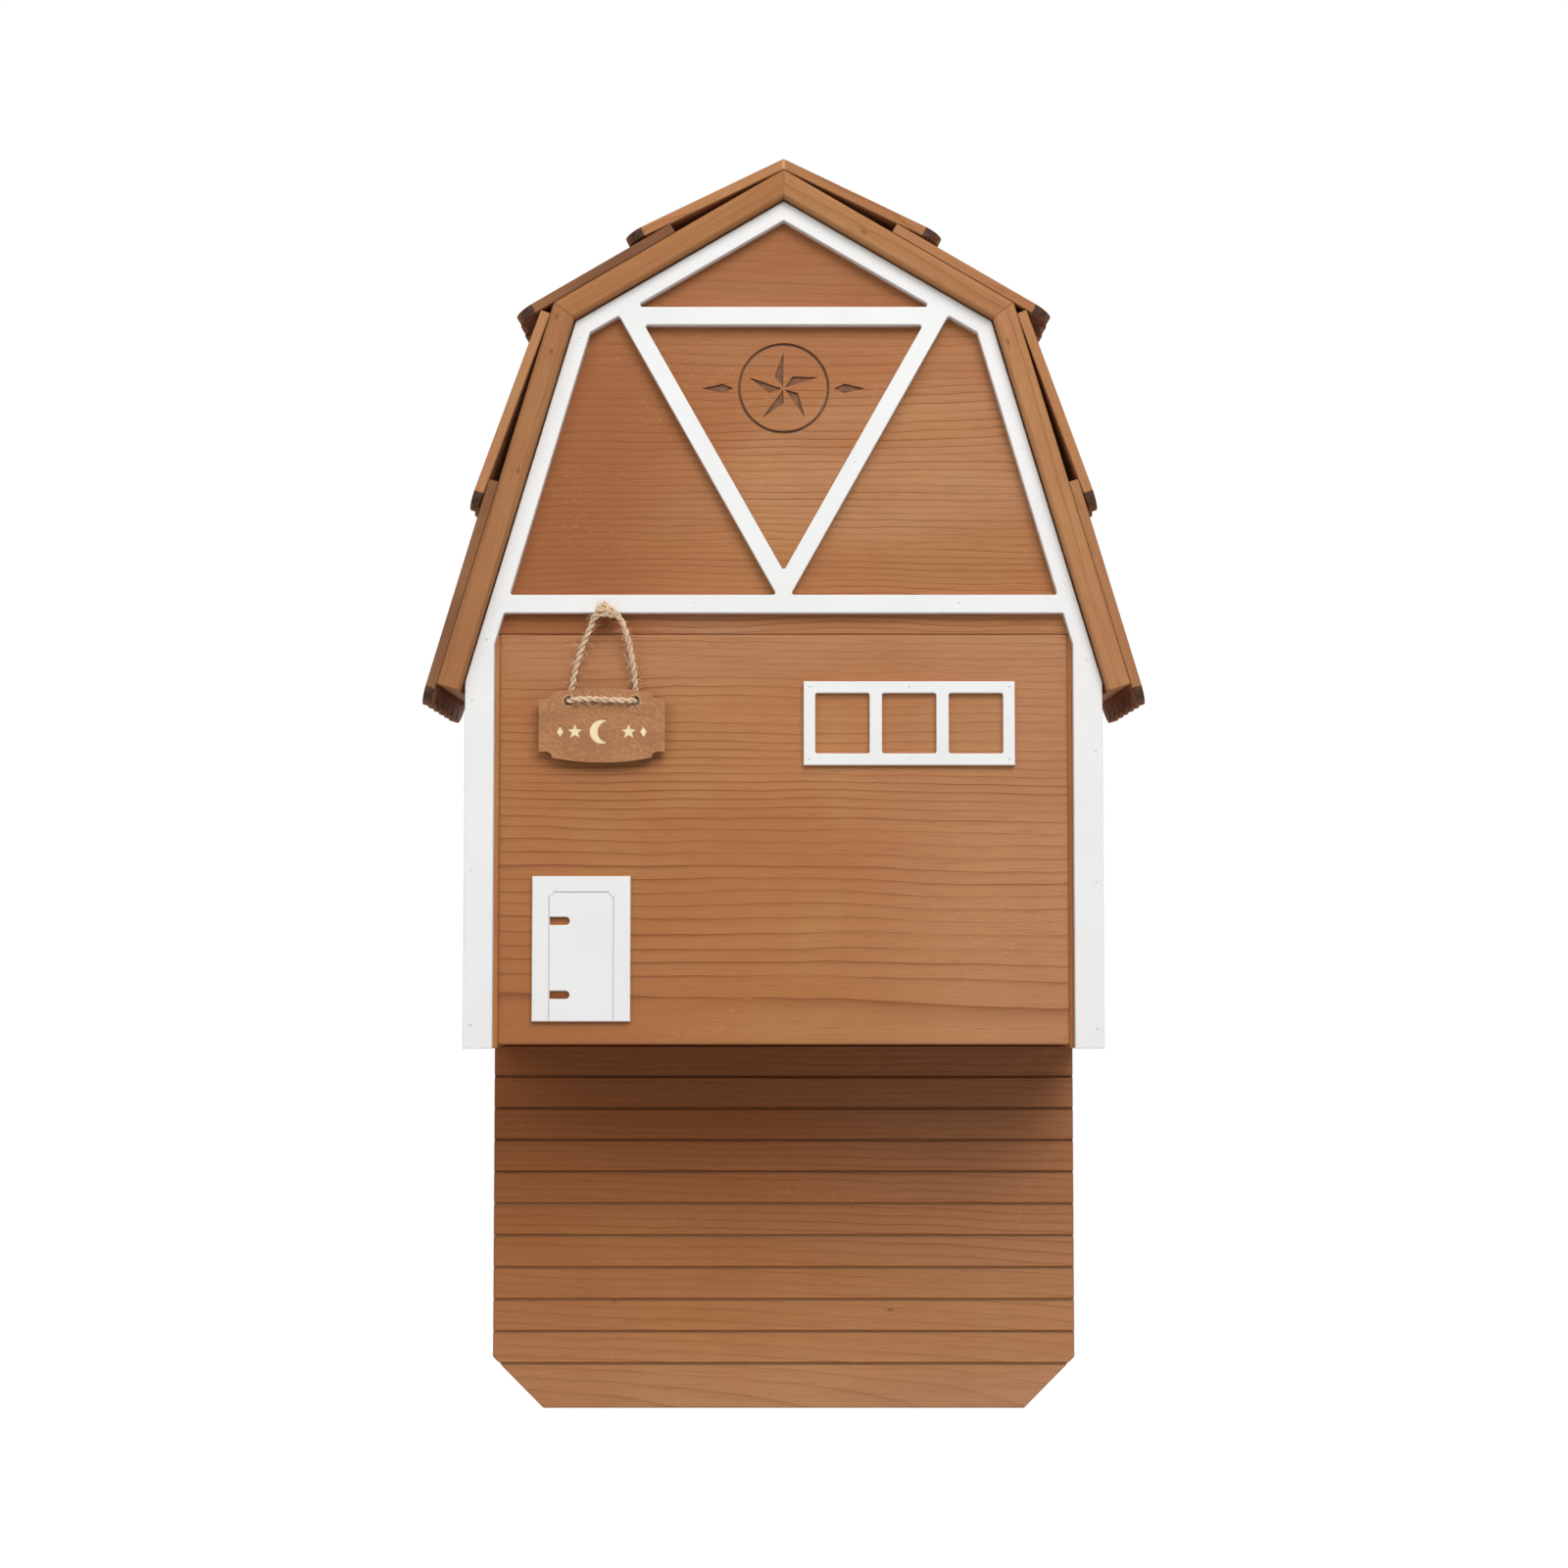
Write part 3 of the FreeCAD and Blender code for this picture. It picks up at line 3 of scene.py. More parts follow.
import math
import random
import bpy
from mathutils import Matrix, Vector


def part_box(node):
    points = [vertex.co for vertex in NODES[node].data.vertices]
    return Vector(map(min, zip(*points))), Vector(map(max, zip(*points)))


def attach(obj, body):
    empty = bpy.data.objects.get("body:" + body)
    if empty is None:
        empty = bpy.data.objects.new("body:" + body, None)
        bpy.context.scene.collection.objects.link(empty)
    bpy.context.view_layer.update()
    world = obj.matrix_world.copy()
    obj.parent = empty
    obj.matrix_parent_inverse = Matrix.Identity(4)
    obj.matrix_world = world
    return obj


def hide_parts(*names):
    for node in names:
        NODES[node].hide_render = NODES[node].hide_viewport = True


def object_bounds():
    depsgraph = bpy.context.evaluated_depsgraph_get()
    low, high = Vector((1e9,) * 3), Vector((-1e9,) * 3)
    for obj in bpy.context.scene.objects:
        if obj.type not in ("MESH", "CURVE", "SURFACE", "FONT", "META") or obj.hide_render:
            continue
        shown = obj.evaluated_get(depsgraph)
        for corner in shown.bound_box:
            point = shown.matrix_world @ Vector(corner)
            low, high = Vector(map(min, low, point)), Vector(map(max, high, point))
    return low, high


bl_info = {
    "name": "Barn Bat Box",
    "version": (1, 0, 0),
    "blender": (4, 5, 0),
    "location": "View3D > Sidebar > Bat Box",
    "description": "Finishes the cedar boards, painted trim, sign, twine and fittings of a bat box",
    "category": "Object",
}

import bmesh
import bpy
from bpy.props import FloatProperty, FloatVectorProperty, IntProperty, PointerProperty
from bpy.types import Operator, Panel, PropertyGroup
from mathutils import Vector

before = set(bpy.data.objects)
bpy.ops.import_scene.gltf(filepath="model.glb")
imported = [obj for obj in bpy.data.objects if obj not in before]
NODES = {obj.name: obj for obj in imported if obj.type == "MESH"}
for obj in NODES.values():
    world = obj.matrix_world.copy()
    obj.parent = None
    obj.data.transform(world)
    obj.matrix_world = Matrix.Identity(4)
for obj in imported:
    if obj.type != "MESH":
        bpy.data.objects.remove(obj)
CAD_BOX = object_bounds()

# Axes of the object: X to the right, Y into the wall, Z up
RIGHT = Vector((1, 0, 0))
INWARD = Vector((0, 1, 0))
UP = Vector((0, 0, 1))

# Places read from the model, in metres
GABLE_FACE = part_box("gable_board")[0].y
SIGN_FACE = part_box("sign_board")[0].y
LANDING_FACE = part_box("back_panel_lower")[0].y
WALL_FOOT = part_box("front_panel")[0].z

# Twine route in metres, from the nail's own x and height and the wall's plane
NAIL = Vector((-0.098, 0.0, -0.1032))
TWINE_ROUTE = [
    (0.0066, -0.1288, -0.0030),
    (0.0030, -0.1288, 0.0026),
    (-0.0004, -0.1288, 0.0028),
    (-0.0034, -0.1288, -0.0028),
    (-0.0070, -0.1282, -0.0112),
    (-0.0118, -0.1257, -0.0218),
    (-0.0156, -0.1233, -0.0358),
    (-0.0178, -0.1230, -0.0494),
    (-0.0178, -0.1296, -0.0494),
    (-0.0095, -0.1296, -0.0482),
    (0.0050, -0.1296, -0.0492),
    (0.0178, -0.1296, -0.0494),
    (0.0178, -0.1230, -0.0494),
    (0.0178, -0.1232, -0.0390),
    (0.0162, -0.1256, -0.0268),
    (0.0142, -0.1280, -0.0160),
    (0.0112, -0.1288, -0.0070),
]

# Left hole of the sign, measured as the route is
SIGN_HOLE = TWINE_ROUTE[7]


def color(name, text, default):
    """Colour property."""
    return FloatVectorProperty(name=name, description=text, subtype="COLOR", size=3, min=0, max=1,
                               default=default)


def length(name, text, default):
    """Length property in metres."""
    return FloatProperty(name=name, description=text, unit="LENGTH", precision=5, default=default)


def factor(name, text, default):
    """Property from none to full strength."""
    return FloatProperty(name=name, description=text, subtype="FACTOR", min=0, max=1,
                         default=default)


# Sizes and colours that a user would change

class CedarSettings(PropertyGroup):
    """Look of the boards."""

    early_wood: color("Early wood", "Wood between the growth rings", (0.44, 0.186, 0.07))
    gold_wood: color("Gold wood", "Yellower clouds in the early wood", (0.46, 0.214, 0.076))
    warm_wood: color("Warm wood", "Redder patches of the boards", (0.37, 0.134, 0.044))
    late_wood: color("Late wood", "Dark line at the end of each growth ring", (0.235, 0.08, 0.025))
    pale_fibre: color("Pale fibre", "Short pale flecks along the grain", (0.62, 0.36, 0.17))
    dark_stain: color("Dark stain", "Dipped tips of the shingles", (0.05, 0.028, 0.022))
    worn_stain: color("Worn stain", "Where the dark stain is thin", (0.105, 0.052, 0.033))
    ring_spacing: length("Ring spacing", "Distance between growth rings", 0.0064)
    line_strength: factor("Line strength", "How strongly the late wood shows", 0.88)
    rounding: length("Rounding", "Radius of the sanded edges", 0.0012)
    roughness: factor("Roughness", "Roughness of the planed boards", 0.6)


class PaintSettings(PropertyGroup):
    """Look of the white trim."""

    white: color("White", "Paint of the trim, window and door", (0.82, 0.82, 0.81))
    shade: color("Shade", "Faint darker patches of the paint", (0.76, 0.755, 0.74))
    roughness: factor("Roughness", "Roughness of the satin paint", 0.42)


class SignSettings(PropertyGroup):
    """Look of the sign."""

    board: color("Board", "Stained face of the sign", (0.415, 0.188, 0.076))
    fleck: color("Fleck", "Darker flecks of the sign", (0.31, 0.128, 0.05))
    inlay: color("Inlay", "Moon, stars and diamonds", (0.88, 0.7, 0.42))
    edge: color("Edge", "Singed edge of the sign", (0.12, 0.052, 0.024))


class TwineSettings(PropertyGroup):
    """Shape and look of the twine."""

    diameter: length("Diameter", "Diameter of the twine", 0.003)
    strands: IntProperty(name="Strands", description="Strands twisted together",
                         min=2, max=4, default=2)
    lay: length("Lay", "Length of one full twist", 0.0092)
    fibres: IntProperty(name="Fibres", description="Loose fibres that stand off the twine",
                        min=0, default=640)
    # The jute colour is the fibres in painted sunlight, the jute shade is painted shade between the
    # strands
    jute: color("Jute", "Sunlit fibres", (0.85, 0.645, 0.46))
    jute_shade: color("Jute shade", "Fibres between the strands", (0.48, 0.28, 0.15))


class StudioSettings(PropertyGroup):
    """Camera, lamps and floor."""

    focal_length: FloatProperty(name="Focal length", description="Lens of the camera",
                                subtype="DISTANCE_CAMERA", default=59.38)
    camera_place: FloatVectorProperty(name="Camera place", description="Where the camera stands",
                                      subtype="XYZ", unit="LENGTH",
                                      default=(0.0002, -1.5181, -0.274))
    camera_tilt: FloatProperty(name="Camera tilt", description="How far the camera looks up",
                               unit="ROTATION", default=math.radians(3.148))
    floor_drop: length("Floor drop", "Height of the hanging box above the floor", 0.9)
    key_power: FloatProperty(name="Key power", description="Power of the main soft lamp",
                             unit="POWER", default=108.0)


class BatBoxSettings(PropertyGroup):
    """All the settings of the bat box."""

    cedar: PointerProperty(type=CedarSettings)
    paint: PointerProperty(type=PaintSettings)
    sign: PointerProperty(type=SignSettings)
    twine: PointerProperty(type=TwineSettings)
    studio: PointerProperty(type=StudioSettings)


# Node trees

class Value:
    """Number that changes over a surface; arithmetic on it adds Math nodes."""

    def __init__(self, recipe, socket):
        self.recipe = recipe
        self.socket = socket

    def __add__(self, other):
        return self.recipe.maths("ADD", self, other)

    __radd__ = __add__

    def __sub__(self, other):
        return self.recipe.maths("SUBTRACT", self, other)

    def __rsub__(self, other):
        return self.recipe.maths("SUBTRACT", other, self)

    def __mul__(self, other):
        return self.recipe.maths("MULTIPLY", self, other)

    __rmul__ = __mul__

    def __truediv__(self, other):
        return self.recipe.maths("DIVIDE", self, other)

    def __rtruediv__(self, other):
        return self.recipe.maths("DIVIDE", other, self)

    def __pow__(self, other):
        return self.recipe.maths("POWER", self, other)

    def __rpow__(self, other):
        return self.recipe.maths("POWER", other, self)

    def __abs__(self):
        return self.recipe.maths("ABSOLUTE", self)

    def fraction(self):
        """Part after the decimal point."""
        return self.recipe.maths("FRACT", self)

    def ramp(self, low, high, start=0.0, end=1.0):
        """Smooth step from start to end as the number goes from low to high."""
        made = self.recipe.node(
            "ShaderNodeMapRange", {"interpolation_type": "SMOOTHSTEP"},
            {"Value": self, "From Min": low, "From Max": high, "To Min": start, "To Max": end})
        return Value(self.recipe, made.outputs[0])


class Recipe:
    """Node tree of one material or of the world."""

    def __init__(self, owner):
        owner.use_nodes = True
        self.owner = owner
        self.tree = owner.node_tree
        self.tree.nodes.clear()

    def node(self, kind, settings=None, inputs=None):
        """Add a node, set it up, then give its sockets values or links."""
        made = self.tree.nodes.new(kind)
        for name, choice in (settings or {}).items():
            setattr(made, name, choice)
        for name, content in (inputs or {}).items():
            socket = made.inputs[name]
            if isinstance(content, Value):
                content = content.socket
            if isinstance(content, bpy.types.NodeSocket):
                self.tree.links.new(content, socket)
            elif socket.type == "RGBA":
                socket.default_value = (*content[:3], 1.0)
            else:
                socket.default_value = content
        return made

    def maths(self, operation, *terms):
        """Math node on numbers."""
        made = self.node("ShaderNodeMath", {"operation": operation}, dict(enumerate(terms)))
        return Value(self, made.outputs[0])

    def vector(self, operation, *terms):
        """Vector Math node; a dot product gives a number."""
        made = self.node("ShaderNodeVectorMath", {"operation": operation}, dict(enumerate(terms)))
        if operation == "DOT_PRODUCT":
            return Value(self, made.outputs["Value"])
        return made.outputs["Vector"]

    def mix(self, share, first, second, blend="MIX"):
        """Mix of two colours."""
        made = self.node("ShaderNodeMix", {"data_type": "RGBA", "blend_type": blend},
                         {0: share, 6: first, 7: second})
        return made.outputs[2]

    def place(self):
        """Position on the piece in the object's own frame."""
        return self.node("ShaderNodeTexCoord").outputs["Object"]

    def facing(self, direction):
        """How squarely the surface faces a direction."""
        normal = self.node("ShaderNodeTexCoord").outputs["Normal"]
        return self.vector("DOT_PRODUCT", normal, direction)

    def facing_front(self, low, high):
        """One where the surface faces the front, none where it faces elsewhere."""
        return (-1 * self.facing(INWARD)).ramp(low, high)

    def noise(self, place, scale, detail=2.0, shift=0.0, roughness=0.5):
        """Noise about 0.5, stretched by a scale for each axis."""
        moved = Vector((shift, shift * 1.7, shift * 0.6))
        stretched = self.vector("MULTIPLY_ADD", place, Vector(scale), moved)
        made = self.node(
            "ShaderNodeTexNoise", {"noise_dimensions": "3D"},
            {"Vector": stretched, "Scale": 1.0, "Detail": detail, "Roughness": roughness})
        return Value(self, made.outputs[0])

    def coordinates(self, place):
        """Three coordinates of a place."""
        parts = self.node("ShaderNodeSeparateXYZ", None, {0: place})
        return [Value(self, socket) for socket in parts.outputs]

    def joined(self, coordinates):
        """Place made of three coordinates."""
        return self.node("ShaderNodeCombineXYZ", None, dict(enumerate(coordinates))).outputs[0]

    def surface(self, relief, **inputs):
        """Principled surface with a relief in metres."""
        bump = self.node("ShaderNodeBump", None,
                         {"Strength": 1.0, "Distance": 1.0, "Height": relief})
        sockets = {name.replace("_", " "): content for name, content in inputs.items()}
        sockets["Normal"] = bump.outputs[0]
        shader = self.node("ShaderNodeBsdfPrincipled", None, sockets)
        self.output(shader.outputs[0])
        return self.owner

    def output(self, shader, kind="ShaderNodeOutputMaterial"):
        """Connect a shader to the output."""
        self.node(kind, None, {"Surface": shader})


def new_finish(name):
    """Recipe of a new material."""
    return Recipe(bpy.data.materials.new(name))


def sunk_between(depth, face, start, full, fade, end):
    """One on surfaces sunk below a face: rises from start to full, falls from fade to end."""
    return depth.ramp(face + start, face + full) * (1 - depth.ramp(face + fade, face + end))


def dress(piece, material):
    """Give a piece one finish."""
    piece.data.materials.clear()
    piece.data.materials.append(material)


# Wood

# Numbers of a board's axes, and the axes of boards that lie level and stand upright
ALONG, ACROSS, THROUGH = range(3)
LEVEL = (RIGHT, UP, INWARD)
UPRIGHT = (UP, INWARD, RIGHT)

# Tints of the wood where it is redder or paler than usual
REDDER = (0.33, 0.112, 0.034)
PALER = (0.5, 0.27, 0.15)

# Tints of cut ends and knots, and of painted light on saw groove floors and painted shade on their
# lower walls
END_GRAIN = (0.36, 0.11, 0.03)
KNOT_TINT = (0.14, 0.055, 0.025)
PAINTED_GROOVE_LIGHT = (0.72, 0.4, 0.19)
PAINTED_GROOVE_SHADE = (0.13, 0.05, 0.02)

# Start of a wash that covers a whole board: its axis, and places beyond the board's end
EVERYWHERE = (ALONG, -2.0, -1.0)


class Board:
    """How the wood of one board grew and was cut."""

    def __init__(self, axes, pith, seed, spacing=1.0, lines=1.0, tilt=0.0, washes=(), tone=1.0,
                 knots=(), rounded=(ALONG, ACROSS, THROUGH), radius=1.0, wave=1.0, stresses=(),
                 blotches=0.0):
        self.axes = axes            # directions along, across and through the board
        self.pith = pith            # middle of the rings, across and through the board
        self.seed = seed
        self.spacing = spacing      # ring spacing, against the usual one
        self.lines = lines          # strength of the late wood, against the usual one
        self.tilt = tilt            # how fast the pith moves through the board along it
        self.washes = washes        # axis number, where a tint starts and is full, strength, tint
        self.tone = tone            # brightness against the usual one
        self.knots = knots          # along, across and radius of each small knot
        self.rounded = rounded      # axes across which the edges are rounded
        self.radius = radius        # rounding, against the usual one
        self.wave = wave            # how much the rings wander, against the usual amount
        self.stresses = stresses    # axis number, where late wood starts and stops changing, share
        self.blotches = blotches    # strength of broad paler blotches


def growth_rings(recipe, cedar, board, coordinates, local):
    """Late wood of the rings round the pith, and the shade of the knots where there are any."""
    along, across, through = coordinates
    seed = board.seed

    # Slow waves along the board and a little wobble
    sway = (recipe.noise(local, (4.5, 9.0, 9.0), 1.0, seed) - 0.5) * 0.012
    wobble = (recipe.noise(local, (16.0, 34.0, 34.0), 2.0, seed + 3) - 0.5) * (0.0044 * board.wave)
    sideways = across - board.pith[0] + sway + wobble
    inwards = through - board.pith[1]
    if board.tilt:
        inwards = inwards - along * board.tilt
    bent = sideways
    knot_shade = None
    for knot_along, knot_across, size in board.knots:
        off = along - knot_along
        side = across - knot_across
        distance = (off * off * 0.3 + side * side) ** 0.5
        near = distance.ramp(0.0, size * 3.5, 1.0, 0.0)
        bent = bent + near * size * 0.9
        spot = distance.ramp(size * 0.5, size * 1.15, 1.0, 0.0)
        knot_shade = spot if knot_shade is None else knot_shade + spot
    radius = (bent * bent + inwards * inwards) ** 0.5
    spread = recipe.noise(local, (0.7, 22.0, 22.0), 1.0, seed + 5) * 2.2
    phase = radius * (1 + radius * 1.8) / (cedar.ring_spacing * board.spacing) + spread
    ring = phase.fraction()
    late = (ring ** 12 + ring ** 4 * 0.3) * (1 - ring.ramp(0.97, 1.0))
    return late, knot_shade


def grown_wood(recipe, cedar, board, piece):
    """Colour, relief in metres, the three coordinates in the board, and the place they make."""
    place = recipe.place()
    coordinates = [recipe.vector("DOT_PRODUCT", place, axis) for axis in board.axes]
    local = recipe.joined(coordinates)
    seed = board.seed
    late, knot_shade = growth_rings(recipe, cedar, board, coordinates, local)
    uneven = recipe.noise(local, (5.0, 75.0, 75.0), 2.0, seed + 7).ramp(0.3, 0.68, 0.3, 1.25)

    # Clouds, patches, fibres and flecks
    clouds = recipe.noise(local, (24.0, 8.0, 8.0), 2.0, seed + 15).ramp(0.36, 0.64)
    patches = recipe.noise(local, (4.0, 16.0, 16.0), 2.0, seed + 9).ramp(0.36, 0.7)
    bands = recipe.noise(local, (1.5, 130.0, 130.0), 2.0, seed + 10).ramp(0.35, 0.7)
    fibres = recipe.noise(local, (24.0, 1000.0, 1000.0), 3.0, seed + 11)
    rough_spots = recipe.noise(local, (14.0, 20.0, 20.0), 2.0, seed + 19).ramp(0.5, 0.66)
    fine_spots = recipe.noise(local, (330.0, 900.0, 900.0), 2.0, seed + 13)
    flecks = fine_spots.ramp(0.58, 0.78) * rough_spots
    dashes = recipe.noise(local, (70.0, 800.0, 800.0), 2.0, seed + 21).ramp(0.57, 0.72)
    tint = recipe.mix(clouds, cedar.early_wood, cedar.gold_wood)
    tint = recipe.mix(patches * 0.65, tint, cedar.warm_wood)
    tint = recipe.mix(bands * 0.22, tint, cedar.warm_wood)
    if board.blotches:
        blotches = recipe.noise(local, (5.0, 17.0, 17.0), 2.0, seed + 2.4).ramp(0.4, 0.64)
        tint = recipe.mix(blotches * board.blotches, tint, PALER)
    for axis, start, full, strength, wash in board.washes:
        edge = (recipe.noise(local, (9.0, 9.0, 9.0), 2.0, seed + 17) - 0.5) * 0.06
        tint = recipe.mix(washed(coordinates[axis] + edge, start, full) * strength, tint, wash)
    strength = cedar.line_strength * board.lines
    for axis, start, full, share in board.stresses:
        strength = strength * (1 + washed(coordinates[axis], start, full) * (share - 1))
    tint = recipe.mix(late * uneven * strength, tint, cedar.late_wood)
    tint = recipe.mix((0.5 - fibres).ramp(0.0, 0.2) * 0.22, tint, cedar.late_wood)
    tint = recipe.mix(dashes * 0.24, tint, cedar.late_wood)
    tint = recipe.mix(flecks * 0.3, tint, cedar.pale_fibre)
    ends = abs(recipe.facing(board.axes[ALONG])).ramp(0.6, 0.95)
    tint = recipe.mix(ends * 0.7, tint, END_GRAIN)
    if knot_shade is not None:
        tint = recipe.mix(knot_shade * 0.5, tint, KNOT_TINT)
    if board.tone != 1.0:
        tint = recipe.mix(1.0, tint, [board.tone] * 3, "MULTIPLY")
    relief = fibres * 0.00005 - late * 0.00006 + flecks * 0.00003
    for number in board.rounded:
        low, high = reach_along(piece, board.axes[number])
        relief = relief - rounded_off(recipe, coordinates[number], low, high,
                                      cedar.rounding * board.radius)
    return tint, relief, coordinates, local


def reach_along(piece, axis):
    """Lowest and highest place of a piece along a direction."""
    spots = [vertex.co.dot(axis) for vertex in piece.data.vertices]
    return min(spots), max(spots)


def washed(coordinate, start, full):
    """One beyond full, none before start, in either direction."""
    if full > start:
        return coordinate.ramp(start, full)
    return coordinate.ramp(full, start, 1.0, 0.0)


def rounded_off(recipe, coordinate, low, high, radius):
    """How much the sanded edges at both ends of a coordinate fall away."""
    middle = (low + high) / 2
    flat = (high - low) / 2 - radius
    reach = recipe.maths("MAXIMUM", abs(coordinate - middle) - flat, 0)
    return reach * reach / (2 * radius)


def wooden(name, cedar, board, specular=0.2):
    """Planed and oiled board."""
    recipe = new_finish(name)
    tint, relief, _, _ = grown_wood(recipe, cedar, board, NODES[name])
    return recipe.surface(relief, Base_Color=tint, Roughness=cedar.roughness,
                          Specular_IOR_Level=specular)


class BATBOX_OT_walls(Operator):
    """Finish the back, front, side and gable boards"""

    bl_idname = "bat_box.walls"
    bl_label = "Walls"

    def execute(self, context):
        cedar = context.scene.bat_box.cedar
        boards = {
            "back_panel_upper": Board(LEVEL, (0.05, 0.09), seed=2.6, spacing=1.2),
            "front_panel": Board(
                LEVEL, (WALL_FOOT + 0.004, -0.066), seed=4.1, spacing=1.12, lines=1.15,
                washes=((ALONG, 0.03, -0.16, 0.4, REDDER), (ALONG, 0.0, 0.12, 0.3, PALER),
                        (ACROSS, -0.155, -0.12, 0.3, PALER)),
                stresses=((ALONG, 0.0, -0.1, 1.7), (ACROSS, -0.21, -0.16, 0.65))),
            "side_panel_left": Board(UPRIGHT, (-0.09, -0.24), seed=6.2),
            "side_panel_right": Board(UPRIGHT, (-0.09, 0.24), seed=7.9),
        }
        for node, board in boards.items():
            dress(NODES[node], wooden(node, cedar, board))
        dress(NODES["back_panel_lower"], self.grooved_board(cedar))
        dress(NODES["gable_board"], self.carved_board(cedar))
        return {"FINISHED"}

    def grooved_board(self, cedar):
        """Landing board; its saw grooves get painted light on the floors and painted shade on the
        lower walls.
        """
        recipe = new_finish("back_panel_lower")
        # Redder towards the top is painted shade under the box; paler at the foot and towards the
        # right is painted light
        board = Board(LEVEL, (-0.565, -0.052), seed=1.3, spacing=1.1, lines=0.9, tilt=-0.1,
                      knots=((-0.0969, -0.4887, 0.0011), (0.0613, -0.4938, 0.0012)),
                      washes=((ACROSS, -0.57, -0.39, 0.95, REDDER),
                              (ACROSS, -0.51, -0.56, 0.35, PALER),
                              (ALONG, -0.06, 0.14, 0.28, PALER)),
                      stresses=((ACROSS, -0.45, -0.51, 0.6),), blotches=0.2)
        tint, relief, coordinates, _ = grown_wood(recipe, cedar, board, NODES["back_panel_lower"])
        _, height, depth = coordinates
        # Painted light on the groove floors of the lower rows, and painted shade on the lower walls
        # of all grooves
        inside = sunk_between(depth, LANDING_FACE, 0.0003, 0.0008, 0.0021, 0.0024)
        inside = inside * (1 - abs(recipe.facing(RIGHT)).ramp(0.3, 0.8))
        lower_wall = recipe.facing(UP).ramp(0.3, 0.8)
        pale = inside * (1 - lower_wall) * height.ramp(-0.45, -0.4, 0.5, 0.05)
        tint = recipe.mix(pale, tint, PAINTED_GROOVE_LIGHT)
        tint = recipe.mix(inside * lower_wall * 0.75, tint, PAINTED_GROOVE_SHADE)
        return recipe.surface(relief, Base_Color=tint, Roughness=cedar.roughness,
                              Specular_IOR_Level=0.15)

    def carved_board(self, cedar):
        """Gable board with a singed carving, its walls darkened by painted shade."""
        recipe = new_finish("gable_board")
        # Redder towards the left and the top: partly heartwood tone, partly painted shade
        board = Board(LEVEL, (0.19, -0.054), seed=9.4, spacing=1.1, lines=1.2, tone=0.95,
                      washes=((ALONG, -0.01, -0.11, 1.0, REDDER),
                              (ACROSS, 0.02, 0.1, 0.85, REDDER)),
                      stresses=((ACROSS, 0.0, 0.06, 0.6),),
                      rounded=(ACROSS,), wave=1.3, blotches=0.35)
        tint, relief, coordinates, local = grown_wood(recipe, cedar, board, NODES["gable_board"])
        depth = coordinates[THROUGH]
        carved = sunk_between(depth, GABLE_FACE, 0.0003, 0.0006, 0.0014, 0.0016)
        singe = recipe.noise(local, (240.0, 240.0, 240.0), 2.0, 1.5).ramp(0.3, 0.7, 0.5, 0.8)
        tint = recipe.mix(carved * singe, tint, cedar.worn_stain)
        # Painted shade darkens the walls of the carving
        walls = carved * (1 - abs(recipe.facing(INWARD)).ramp(0.3, 0.8))
        tint = recipe.mix(walls * 0.8, tint, cedar.dark_stain)
        return recipe.surface(relief, Base_Color=tint, Roughness=cedar.roughness,
                              Specular_IOR_Level=0.24)


class BATBOX_OT_partitions(Operator):
    """Finish the rough sawn partitions inside"""

    bl_idname = "bat_box.partitions"
    bl_label = "Partitions"

    def execute(self, context):
        cedar = context.scene.bat_box.cedar
        for number in (1, 2, 3):
            name = f"roost_partition_{number}"
            recipe = new_finish(name)
            board = Board(LEVEL, (-0.3 + 0.07 * number, 0.05), seed=20.0 + number)
            tint, relief, _, local = grown_wood(recipe, cedar, board, NODES[name])
            saw = recipe.noise(local, (900.0, 40.0, 40.0), 2.0, number)
            tint = recipe.mix(saw.ramp(0.35, 0.65) * 0.3, tint, cedar.warm_wood)
            dress(NODES[name], recipe.surface(relief + saw * 0.0003, Base_Color=tint,
                                              Roughness=0.85, Specular_IOR_Level=0.2))
        return {"FINISHED"}


# Roof

# Radius of the small knots in the roof boards, in metres
ROOF_KNOT = 0.0011

# Tints of toasted shingles, and of worn and dark stain with painted light on tips that don't face
# the front
TOASTED = (0.15, 0.065, 0.035)
PAINTED_LIGHT_WORN_TIP = (0.46, 0.2, 0.1)
PAINTED_LIGHT_DARK_TIP = (0.16, 0.068, 0.038)


def slope_axes(piece):
    """Down the slope, along the ridge and out of the largest face of a sloping board."""
    largest = max(piece.data.polygons, key=lambda face: face.area)
    out = largest.normal.copy()
    if out.z < 0:
        out.negate()
    down = INWARD.cross(out)
    if down.z > 0:
        down.negate()
    return down.normalized(), INWARD, out


def box_middle(name):
    """Middle of a node's box."""
    return sum((Vector(corner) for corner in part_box(name)), Vector()) / 2


